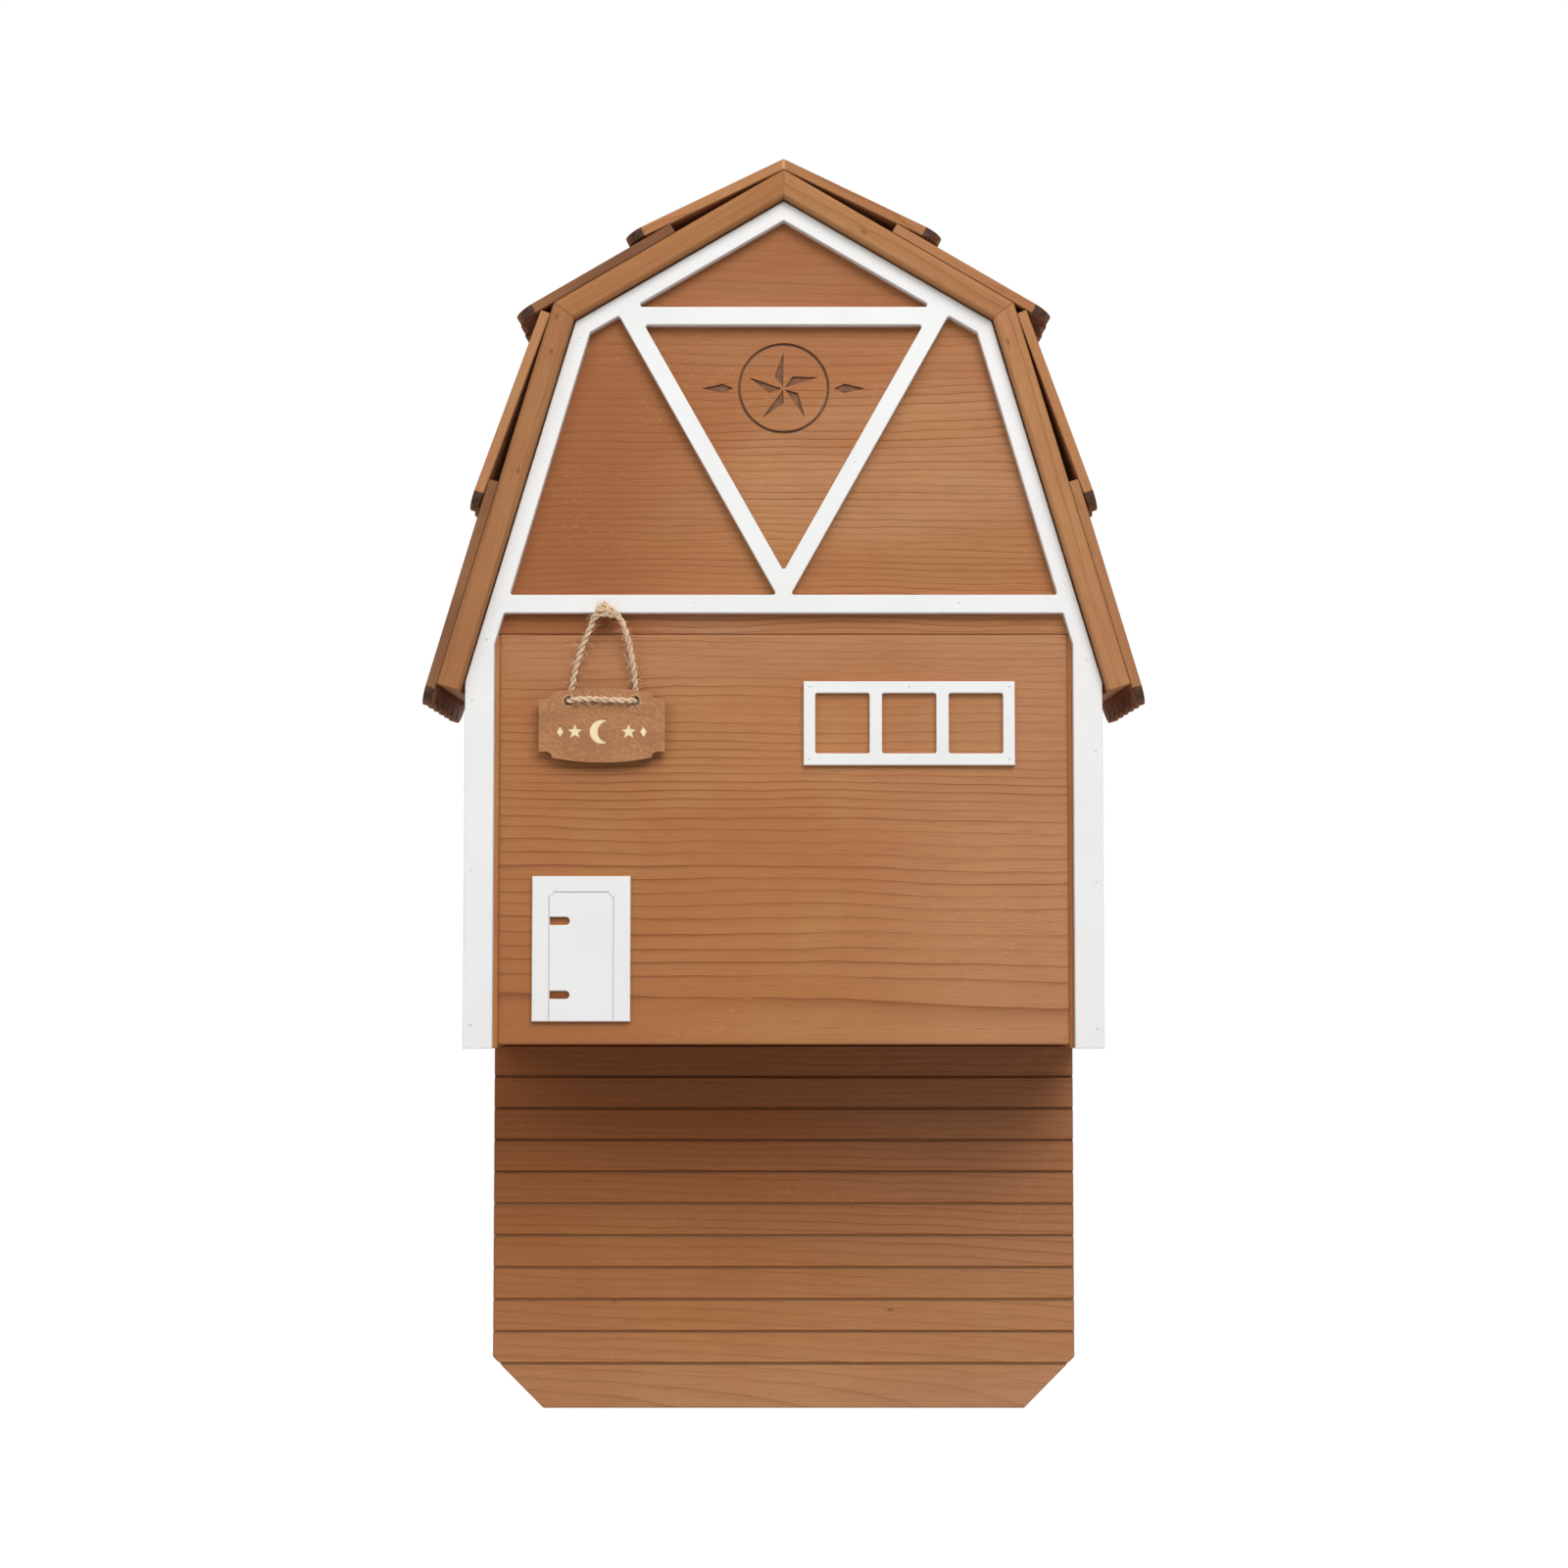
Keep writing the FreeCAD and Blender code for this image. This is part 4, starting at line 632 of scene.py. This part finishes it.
class BATBOX_OT_roof(Operator):
    """Finish the four roof boards"""

    bl_idname = "bat_box.roof"
    bl_label = "Roof boards"

    def execute(self, context):
        cedar = context.scene.bat_box.cedar
        # Tone of each board, how pale it is, and its knots as shares of its length and thickness
        looks = {
            "upper_left": (0.86, 0.1, ()),
            "upper_right": (0.9, 0.2, ((0.38, 0.4),)),
            "lower_left": (0.84, 0.22, ((0.03, 0.7), (0.12, 0.5), (0.43, 0.35))),
            "lower_right": (0.96, 0.28, ((0.09, 0.3),)),
        }
        seed = 30.0
        for part, (tone, pale, knots) in looks.items():
            name = f"roof_board_{part}"
            piece = NODES[name]
            down, ridge, out = slope_axes(piece)
            middle = box_middle(name)
            top, foot = reach_along(piece, down)
            under, face = reach_along(piece, out)
            placed = [(top + (foot - top) * share, under + (face - under) * height, ROOF_KNOT)
                      for share, height in knots]
            # Grain runs down the slope, and the rings are seen on the front edge
            pith = (middle.dot(out) - 0.034, middle.dot(ridge) + 0.03)
            board = Board((down, out, ridge), pith, seed, spacing=0.6, lines=0.45, tone=tone,
                          washes=((*EVERYWHERE, pale, PALER),), knots=placed,
                          rounded=(ACROSS, THROUGH), radius=2.0)
            dress(piece, wooden(name, cedar, board, specular=0.08))
            seed += 1.9
        return {"FINISHED"}


class BATBOX_OT_shingles(Operator):
    """Finish the shingle strips, whose scalloped tips are dipped in dark stain"""

    bl_idname = "bat_box.shingles"
    bl_label = "Shingles"

    dip: length("Dip", "How far the dark stain reaches up from the tips", 0.0098)

    def execute(self, context):
        cedar = context.scene.bat_box.cedar
        # Tone of each strip and how much of it is toasted dark
        looks = {
            "ridge_left": (1.02, 0.0),
            "ridge_right": (1.0, 0.1),
            "upper_left": (0.82, 0.78),
            "upper_right": (1.0, 0.12),
            "middle_left": (1.02, 0.08),
            "middle_right": (1.0, 0.0),
            "eave_left": (0.85, 0.75),
            "eave_right": (0.98, 0.22),
        }
        seed = 50.0
        for course, (tone, toasting) in looks.items():
            name = f"shingle_{course}"
            dress(NODES[name], self.strip(name, cedar, seed, tone, toasting))
            seed += 2.3
        return {"FINISHED"}

    def strip(self, name, cedar, seed, tone, toasting):
        """Strip of a course."""
        piece = NODES[name]
        down, ridge, out = slope_axes(piece)
        middle = box_middle(name)
        recipe = new_finish(name)
        pith = (middle.dot(ridge) + 0.03, middle.dot(out) - 0.03)
        board = Board((down, ridge, out), pith, seed, spacing=0.8, lines=0.6, tone=tone,
                      washes=((*EVERYWHERE, 0.3, PALER),), rounded=(ACROSS, THROUGH), radius=0.6)
        tint, relief, coordinates, local = grown_wood(recipe, cedar, board, piece)
        toast = recipe.noise(local, (14.0, 30.0, 30.0), 2.0, seed + 1).ramp(0.3, 0.7, 0.4, 1.0)
        tint = recipe.mix(toast * toasting, tint, TOASTED)

        # Dipped tips; sides of the scallops that don't face the front get painted light, so those
        # that face it are darkest
        dip_line = reach_along(piece, down)[1] - self.dip
        ragged = (recipe.noise(local, (60.0, 260.0, 260.0), 2.0, seed) - 0.5) * 0.0022
        dipped = (coordinates[ALONG] + ragged).ramp(dip_line - 0.0003, dip_line + 0.0003)
        streaks = recipe.noise(local, (90.0, 700.0, 700.0), 3.0, seed + 2).ramp(0.35, 0.7)
        front = recipe.facing_front(0.3, 0.85)
        worn = recipe.mix(front, PAINTED_LIGHT_WORN_TIP, cedar.worn_stain)
        dark = recipe.mix(front, PAINTED_LIGHT_DARK_TIP, cedar.dark_stain)
        tint = recipe.mix(dipped * 0.95, tint, recipe.mix(streaks, dark, worn))
        if "ridge" in name:
            sideways = recipe.coordinates(recipe.place())[0]
            mitre = abs(sideways).ramp(0.0004, 0.0014, 0.75, 0.0)
            tint = recipe.mix(mitre, tint, cedar.pale_fibre)
        return recipe.surface(relief, Base_Color=tint, Roughness=0.8, Specular_IOR_Level=0.08)


# Painted pieces

# Tints of the paint along sawn sides, partly painted shade, and of painted shade in engraved lines
SAWN_PAINT_AND_SHADE = (0.6, 0.56, 0.51)
ENGRAVED_LINE_SHADE = (0.42, 0.41, 0.4)


class BATBOX_OT_paint(Operator):
    """Paint the trim, the window frame and the door plate"""

    bl_idname = "bat_box.paint"
    bl_label = "Painted trim"

    def execute(self, context):
        paint = context.scene.bat_box.paint
        for name in ("front_trim", "window_frame", "door_plate"):
            dress(NODES[name], self.painted(name, paint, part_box(name)[0].y))
        return {"FINISHED"}

    def painted(self, name, paint, face):
        """Satin paint; painted shade greys the engraved lines, and the sawn sides are greyer,
        partly as painted shade.
        """
        recipe = new_finish(name)
        place = recipe.place()
        depth = recipe.coordinates(place)[1]
        clouds = recipe.noise(place, (22.0, 22.0, 22.0), 2.0, 1.0).ramp(0.35, 0.75, 0.0, 0.5)
        roller = recipe.noise(place, (900.0, 900.0, 900.0), 2.0, 2.0)
        grain = recipe.noise(place, (60.0, 700.0, 700.0), 2.0, 4.0)
        tint = recipe.mix(clouds, paint.white, paint.shade)
        # Sides grow greyer away from the face: the sawn edge's tint and painted shade towards the
        # wood
        sides = depth.ramp(face + 0.0004, face + 0.0016, 0.0, 0.3)
        tint = recipe.mix(sides, tint, SAWN_PAINT_AND_SHADE)
        front = recipe.facing_front(0.8, 0.95)
        # Painted shade greys the floor of engraved lines
        engraved = sunk_between(depth, face, 0.0002, 0.0004, 0.0008, 0.001)
        tint = recipe.mix(engraved * front * 0.4, tint, ENGRAVED_LINE_SHADE)
        return recipe.surface(roller * 0.00002 + grain * 0.00002, Base_Color=tint,
                              Roughness=paint.roughness, Specular_IOR_Level=0.4)


# Sign

# Tints of pale fibres in the board, of the painted highlight round its holes and of painted glints
# in the pale inlay
SIGN_FIBRE = (0.6, 0.36, 0.19)
PAINTED_HOLE_HIGHLIGHT = (0.7, 0.48, 0.3)
PAINTED_INLAY_GLINT = (0.95, 0.8, 0.55)


class BATBOX_OT_sign(Operator):
    """Stain the sign board and fill its sunk ornaments"""

    bl_idname = "bat_box.sign"
    bl_label = "Sign"

    def execute(self, context):
        colors = context.scene.bat_box.sign
        recipe = new_finish("sign_board")
        place = recipe.place()
        # The fibres run down to the right
        slant = (Vector((0.85, 0, -0.53)), INWARD, Vector((0.53, 0, 0.85)))
        turned = recipe.joined(recipe.vector("DOT_PRODUCT", place, axis) for axis in slant)
        across, depth, height = recipe.coordinates(place)
        patches = recipe.noise(place, (45.0, 60.0, 70.0), 3.0, 2.0).ramp(0.34, 0.66)
        dashes = recipe.noise(turned, (300.0, 600.0, 800.0), 3.0, 5.0, 0.6).ramp(0.48, 0.64)
        pale = recipe.noise(turned, (320.0, 700.0, 850.0), 3.0, 8.0, 0.6).ramp(0.52, 0.68)
        tint = recipe.mix(patches * 0.8, colors.board, colors.fleck)
        tint = recipe.mix(dashes * 0.75, tint, colors.fleck)
        tint = recipe.mix(pale * 0.36, tint, SIGN_FIBRE)

        # Cut edges and cord holes are singed, with a pale ring of painted highlight round each hole
        edge = 1 - abs(recipe.facing(INWARD)).ramp(0.5, 0.9)
        tint = recipe.mix(edge * 0.85, tint, colors.edge)
        hole_height = height - (NAIL.z + SIGN_HOLE[2])
        hole_across = abs(across - NAIL.x) - abs(SIGN_HOLE[0])
        ring = (hole_across * hole_across + hole_height * hole_height) ** 0.5
        ragged_ring = ring + (dashes - 0.5) * 0.0006
        tint = recipe.mix(ragged_ring.ramp(0.0029, 0.0035, 0.4, 0.0), tint, PAINTED_HOLE_HIGHLIGHT)
        tint = recipe.mix(ragged_ring.ramp(0.0024, 0.0029, 0.8, 0.0), tint, colors.edge)

        # Floors of the sunk ornaments are filled with a pale inlay, flecked with painted glints
        sunk = sunk_between(depth, SIGN_FACE, 0.00025, 0.00035, 0.00045, 0.00055)
        inlay = recipe.mix(pale * 0.6, colors.inlay, PAINTED_INLAY_GLINT)
        tint = recipe.mix(sunk * recipe.facing_front(0.8, 0.95), tint, inlay)
        relief = pale * 0.00003 - dashes * 0.00004 + patches * 0.00002
        dress(NODES["sign_board"], recipe.surface(relief, Base_Color=tint, Roughness=0.66,
                                                  Specular_IOR_Level=0.3))
        return {"FINISHED"}


# Twine

# Distance between the rings of a strand, finer yarns in a strand, their twist against the
# strand's own, and the sides of a yarn
RING_STEP = 0.00035
YARNS = 4
YARN_TWIST = 1.6
YARN_SIDES = 6

# Distance between roots of loose fibres, and how far to the rear one may point
ROOT_STEP = 0.0005
REAR_LIMIT = 0.35

# Shortest and longest loose fibre, its curl and radius, and the parts and sides that it has
FIBRE_REACH = (0.0012, 0.0058)
FIBRE_CURL = 0.0012
FIBRE_RADIUS = 0.00006
FIBRE_PARTS = 5
FIBRE_SIDES = 4

# Tint of darker patches along the twine
JUTE_PATCH = (0.74, 0.52, 0.32)


def spline_line(route, detail=14):
    """Points along the smooth spline whose control points are the route."""
    data = bpy.data.curves.new("route", "CURVE")
    data.dimensions = "3D"
    spline = data.splines.new("NURBS")
    spline.points.add(len(route) - 1)
    for point, place in zip(spline.points, route):
        point.co = (*place, 1.0)
    spline.order_u = 3
    spline.use_endpoint_u = True
    data.resolution_u = detail
    holder = bpy.data.objects.new("route", data)
    bpy.context.scene.collection.objects.link(holder)
    bpy.context.view_layer.update()
    mesh = bpy.data.meshes.new_from_object(holder)
    points = [vertex.co.copy() for vertex in mesh.vertices]
    bpy.data.objects.remove(holder)
    bpy.data.curves.remove(data)
    bpy.data.meshes.remove(mesh)
    return points


def even_steps(points, step):
    """Points at an even spacing along a line."""
    result = [points[0]]
    left = step
    for start, end in zip(points, points[1:]):
        run = (end - start).length
        done = left
        while done < run:
            result.append(start.lerp(end, done / run))
            done += step
        left = done - run
    result.append(points[-1])
    return result


def travelling_frames(points):
    """Direction and two cross directions at each point, turning as little as possible."""
    side = Vector((0.3, 1.0, 0.2))
    frames = []
    for index in range(len(points)):
        ahead = (points[min(index + 1, len(points) - 1)] - points[max(index - 1, 0)]).normalized()
        side = (side - ahead * side.dot(ahead)).normalized()
        frames.append((ahead, side, ahead.cross(side)))
    return frames


def outwards(side, up, angle):
    """Direction at an angle round a line, from its two cross directions."""
    return side * math.cos(angle) + up * math.sin(angle)


def add_tube(mesh, centres, radii, sides):
    """Add a closed round tube along centres."""
    rings = []
    for (_, side, up), centre, radius in zip(travelling_frames(centres), centres, radii):
        rings.append([
            mesh.verts.new(centre + outwards(side, up, math.tau * number / sides) * radius)
            for number in range(sides)])
    for first, second in zip(rings, rings[1:]):
        for number in range(sides):
            following = (number + 1) % sides
            mesh.faces.new((first[number], first[following], second[following], second[number]))
    mesh.faces.new(reversed(rings[0]))
    mesh.faces.new(rings[-1])


def add_strands(mesh, line, diameter, lay, strands, draw):
    """Twist strands along a line, each of finer yarns that twist the other way."""
    points = even_steps(line, RING_STEP)
    frames = travelling_frames(points)
    turn = diameter * 0.235
    thick = diameter / 2 - turn
    for number in range(strands):
        strand = []
        for index, (point, (_, side, up)) in enumerate(zip(points, frames)):
            angle = math.tau * (index * RING_STEP / lay + number / strands)
            strand.append(point + outwards(side, up, angle) * turn)
        strand_frames = travelling_frames(strand)
        for yarn in range(YARNS):
            phase = draw.uniform(0, math.tau)
            centres = []
            radii = []
            # The yarn wanders and swells a little
            for index, (point, (_, side, up)) in enumerate(zip(strand, strand_frames)):
                angle = math.tau * (yarn / YARNS - index * RING_STEP / lay * YARN_TWIST)
                out = thick * (0.52 + 0.07 * math.sin(index * 0.13 + phase))
                centres.append(point + outwards(side, up, angle) * out)
                radii.append(thick * (0.47 + 0.05 * math.sin(index * 0.31 + phase)))
            add_tube(mesh, centres, radii, YARN_SIDES)


def new_piece(name, mesh, body):
    """Turn a working mesh into a smooth piece that rides on a body."""
    data = bpy.data.meshes.new(name)
    bmesh.ops.recalc_face_normals(mesh, faces=mesh.faces)
    mesh.to_mesh(data)
    mesh.free()
    data.shade_smooth()
    piece = bpy.data.objects.new(name, data)
    bpy.context.scene.collection.objects.link(piece)
    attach(piece, body)
    return piece


class BATBOX_OT_twine(Operator):
    """Make the twine loop, its knot and its loose fibres"""

    bl_idname = "bat_box.twine"
    bl_label = "Twine"

    def execute(self, context):
        twine = context.scene.bat_box.twine
        draw = random.Random(5)
        jute = self.jute(twine)
        line = spline_line([NAIL + Vector(place) for place in TWINE_ROUTE])

        mesh = bmesh.new()
        add_strands(mesh, line, twine.diameter * 1.12, twine.lay, twine.strands, draw)
        loop = new_piece("sign_twine_strands", mesh, "sign")
        dress(loop, jute)
        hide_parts("sign_twine")

        knot = self.knot(twine, draw)
        dress(knot, jute)
        fuzz = self.fuzz(line, twine, draw)
        dress(fuzz, jute)
        return {"FINISHED"}

    def jute(self, twine):
        """Fibrous jute, with painted shade between the fibres and painted sunlight on them."""
        recipe = new_finish("jute")
        place = recipe.place()
        fibre = recipe.noise(place, (2600.0, 2600.0, 900.0), 3.0, 1.0)
        patch = recipe.noise(place, (160.0, 160.0, 160.0), 2.0, 3.0)
        tint = recipe.mix(fibre.ramp(0.3, 0.52), twine.jute_shade, twine.jute)
        tint = recipe.mix(patch.ramp(0.4, 0.75) * 0.35, tint, JUTE_PATCH)
        return recipe.surface(fibre * 0.0002, Base_Color=tint, Roughness=0.85,
                              Specular_IOR_Level=0.2)

    def knot(self, twine, draw):
        """Knot of the loop: three bights over the nail, a wrap that binds them and a short tail."""
        over = (
            (-0.0060, -0.1288, -0.0072), (-0.0040, -0.1298, -0.0034), (-0.0012, -0.1316, 0.0004),
            (0.0016, -0.1324, 0.0018), (0.0046, -0.1316, 0.0004), (0.0076, -0.1302, -0.0016),
            (0.0102, -0.1292, -0.0046), (0.0122, -0.1288, -0.0096))
        under = (
            (-0.0044, -0.1298, -0.0056), (-0.0018, -0.1318, -0.0034), (0.0014, -0.1328, -0.0032),
            (0.0046, -0.1320, -0.0038), (0.0074, -0.1304, -0.0038), (0.0096, -0.1296, -0.0054))
        across = (
            (-0.0040, -0.1306, -0.0034), (-0.0016, -0.1330, -0.0008), (0.0016, -0.1340, -0.0004),
            (0.0046, -0.1330, -0.0016), (0.0072, -0.1310, -0.0030))
        wrap = []
        steps = 22
        turns = 1.7
        for number in range(steps + 1):
            share = number / steps
            angle = math.tau * turns * share + 1.0
            wrap.append((0.0008 + 0.0042 * share, -0.1314 - math.cos(angle) * 0.0022,
                         -0.0006 - 0.0014 * share + math.sin(angle) * 0.0025))
        tail = ((0.0016, -0.1328, 0.0008), (0.0010, -0.1334, 0.0026), (0.0016, -0.1334, 0.0038))
        diameters = (0.0028, 0.0024, 0.0024, 0.0022, 0.0012)
        mesh = bmesh.new()
        for route, diameter in zip((over, across, under, wrap, tail), diameters):
            line = spline_line([NAIL + Vector(place) for place in route])
            add_strands(mesh, line, diameter, twine.lay, twine.strands, draw)
        knot = new_piece("twine_knot_coil", mesh, "sign")
        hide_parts("twine_knot")
        return knot

    def fuzz(self, line, twine, draw):
        """Fine fibres that curl away from the twine."""
        points = even_steps(line, ROOT_STEP)
        frames = travelling_frames(points)
        mesh = bmesh.new()
        for _ in range(twine.fibres):
            index = draw.randrange(len(points))
            ahead, side, up = frames[index]
            out = outwards(side, up, draw.uniform(0, math.tau))
            if out.y > REAR_LIMIT:
                continue
            reach = draw.uniform(*FIBRE_REACH)
            lean = ahead * draw.uniform(-1.9, 1.9)
            curl = Vector((draw.uniform(-1, 1), draw.uniform(-0.3, 0.1), draw.uniform(-1, 1)))
            start = points[index] + out * twine.diameter * 0.4
            end = start + (out * 0.7 + lean).normalized() * reach + curl * FIBRE_CURL
            bend = start.lerp(end, 0.5) + out * reach * 0.28
            centres = []
            for number in range(FIBRE_PARTS + 1):
                share = number / FIBRE_PARTS
                centres.append(start.lerp(bend, share).lerp(bend.lerp(end, share), share))
            add_tube(mesh, centres, [FIBRE_RADIUS] * FIBRE_PARTS + [FIBRE_RADIUS / 2], FIBRE_SIDES)
        fuzz = new_piece("twine_fuzz", mesh, "sign")
        return fuzz


# Metal

class BATBOX_OT_metal(Operator):
    """Finish the nail, brads, screws and keyhole plates"""

    bl_idname = "bat_box.metal"
    bl_label = "Metal"

    brad_tint: color("Brad tint", "Sunk heads of the brads", (0.66, 0.65, 0.64))
    zinc_tint: color("Zinc tint", "Zinc plated fittings", (0.36, 0.37, 0.385))

    def execute(self, context):
        brads = self.metal("brad_steel", self.brad_tint, 0.55, 0.7)
        zinc = self.metal("zinc_steel", self.zinc_tint, 0.4, 1.0)
        for name in ("trim_brads", "window_brads", "shingle_brads", "roof_nails", "sign_nail"):
            dress(NODES[name], brads)
        for name in ("side_screws", "back_screws", "hanger_screws", "hanger_plate_left",
                     "hanger_plate_right"):
            dress(NODES[name], zinc)
        return {"FINISHED"}

    def metal(self, name, tint, roughness, metallic):
        """Drawn or rolled steel with fine scratches and spots."""
        recipe = new_finish(name)
        place = recipe.place()
        scratches = recipe.noise(place, (180.0, 180.0, 3000.0), 3.0, 1.0)
        spots = recipe.noise(place, (420.0, 420.0, 420.0), 3.0, 2.0).ramp(0.45, 0.7)
        tone = recipe.mix(spots * 0.4, tint, [part * 0.6 for part in tint])
        rough = scratches.ramp(0.3, 0.7, roughness - 0.08, roughness + 0.16)
        return recipe.surface(scratches * 0.00001, Base_Color=tone, Roughness=rough,
                              Metallic=metallic)


# Studio

# Name, place, size in metres and share of the key's power of each lamp, and where they point
LAMPS = (
    ("key", (0.9, -2.7, 2.1), (2.4, 2.2), 1.0),
    ("fill", (-2.1, -2.8, 1.3), (2.2, 2.2), 0.3),
    ("crown", (0.0, -0.2, 2.4), (2.0, 1.6), 0.2),
    ("rear", (0.6, 3.0, 0.8), (2.2, 2.2), 0.7),
)
LAMP_TARGET = Vector((0, -0.06, -0.2))

# Light that the world gives the object, and how white the world and the floor look
WORLD_LIGHT = 0.16
WORLD_WHITE = 1.0
FLOOR_WHITE = 1.145
FLOOR_SHARE = 0.86

# Half a side of the floor in metres, and its tints
FLOOR_REACH = 20.0
FLOOR_TINTS = ((0.62, 0.62, 0.62), (0.66, 0.66, 0.66))


class BATBOX_OT_studio(Operator):
    """Set up the camera, the soft lamps, the floor and the white surroundings"""

    bl_idname = "bat_box.studio"
    bl_label = "Studio"

    def execute(self, context):
        scene = context.scene
        studio = scene.bat_box.studio
        scene.view_settings.view_transform = "Standard"
        self.camera(scene, studio)
        self.floor(scene, studio)
        self.surroundings(scene)
        for name, place, size, share in LAMPS:
            self.lamp(scene, name, place, size, studio.key_power * share)
        return {"FINISHED"}

    def camera(self, scene, studio):
        """Camera at the photograph's viewing angle."""
        data = bpy.data.cameras.new("camera")
        data.sensor_width = 36.0
        data.lens = studio.focal_length
        data.clip_end = 60.0
        camera = bpy.data.objects.new("camera", data)
        camera.location = studio.camera_place
        camera.rotation_euler = (math.pi / 2 + studio.camera_tilt, 0, 0)
        scene.collection.objects.link(camera)
        scene.camera = camera

    def lamp(self, scene, name, place, size, power):
        """Soft rectangular lamp that points at the box."""
        data = bpy.data.lights.new(name, "AREA")
        data.shape = "RECTANGLE"
        data.size, data.size_y = size
        data.energy = power
        lamp = bpy.data.objects.new(name, data)
        lamp.location = place
        lamp.rotation_euler = (LAMP_TARGET - Vector(place)).to_track_quat("-Z", "Y").to_euler()
        scene.collection.objects.link(lamp)

    def seen_directly(self, recipe):
        """One for rays from the camera and those that gloss or glass sends on."""
        path = recipe.node("ShaderNodeLightPath")
        seen = recipe.maths("MAXIMUM", path.outputs["Is Camera Ray"], path.outputs["Is Glossy Ray"])
        return recipe.maths("MAXIMUM", seen, path.outputs["Is Transmission Ray"])

    def floor(self, scene, studio):
        """Pale floor below the hanging box."""
        mesh = bmesh.new()
        bmesh.ops.create_grid(mesh, x_segments=1, y_segments=1, size=FLOOR_REACH)
        data = bpy.data.meshes.new("floor")
        mesh.to_mesh(data)
        mesh.free()
        floor = bpy.data.objects.new("floor", data)
        floor.location.z = CAD_BOX[0].z - studio.floor_drop
        scene.collection.objects.link(floor)
        recipe = new_finish("floor")
        clouds = recipe.noise(recipe.place(), (3.0, 3.0, 3.0), 2.0)
        tint = recipe.mix(clouds, *FLOOR_TINTS)
        matt = recipe.node("ShaderNodeBsdfPrincipled", None,
                           {"Base Color": tint, "Roughness": 0.9, "Specular IOR Level": 0.1})
        bright = recipe.node("ShaderNodeEmission", None,
                             {"Color": (1, 1, 1), "Strength": FLOOR_WHITE})
        share = self.seen_directly(recipe) * FLOOR_SHARE
        mixed = recipe.node("ShaderNodeMixShader", None,
                            {0: share, 1: matt.outputs[0], 2: bright.outputs[0]})
        recipe.output(mixed.outputs[0])
        floor.data.materials.append(recipe.owner)

    def surroundings(self, scene):
        """White world to the camera, softer on the object."""
        world = bpy.data.worlds.new("surroundings")
        scene.world = world
        recipe = Recipe(world)
        soft, white = (
            recipe.node("ShaderNodeBackground", None, {"Color": (1, 1, 1), "Strength": strength})
            for strength in (WORLD_LIGHT, WORLD_WHITE))
        share = self.seen_directly(recipe)
        mixed = recipe.node("ShaderNodeMixShader", None,
                            {0: share, 1: soft.outputs[0], 2: white.outputs[0]})
        recipe.output(mixed.outputs[0], "ShaderNodeOutputWorld")


OPERATORS = (
    BATBOX_OT_studio,
    BATBOX_OT_twine,
    BATBOX_OT_walls,
    BATBOX_OT_partitions,
    BATBOX_OT_roof,
    BATBOX_OT_shingles,
    BATBOX_OT_paint,
    BATBOX_OT_sign,
    BATBOX_OT_metal,
)


class BATBOX_PT_panel(Panel):
    """Lists the steps that finish the bat box"""

    bl_idname = "BATBOX_PT_panel"
    bl_label = "Bat Box"
    bl_space_type = "VIEW_3D"
    bl_region_type = "UI"
    bl_category = "Bat Box"

    def draw(self, context):
        layout = self.layout
        for operator in OPERATORS:
            layout.operator(operator.bl_idname)
        settings = context.scene.bat_box
        for group in (settings.cedar, settings.paint, settings.sign, settings.twine,
                      settings.studio):
            box = layout.box()
            for name in group.bl_rna.properties.keys():
                if name not in ("rna_type", "name"):
                    box.prop(group, name)


CLASSES = (
    CedarSettings,
    PaintSettings,
    SignSettings,
    TwineSettings,
    StudioSettings,
    BatBoxSettings,
    *OPERATORS,
    BATBOX_PT_panel,
)


def register():
    """Register the classes and the settings of the scene."""
    for item in CLASSES:
        bpy.utils.register_class(item)
    bpy.types.Scene.bat_box = PointerProperty(type=BatBoxSettings)


def unregister():
    """Remove the settings and the classes."""
    del bpy.types.Scene.bat_box
    for item in reversed(CLASSES):
        bpy.utils.unregister_class(item)


def main():
    """Finish every piece in order."""
    register()
    for operator in OPERATORS:
        group, name = operator.bl_idname.split(".")
        getattr(getattr(bpy.ops, group), name)()


if __name__ == "__main__":
    main()
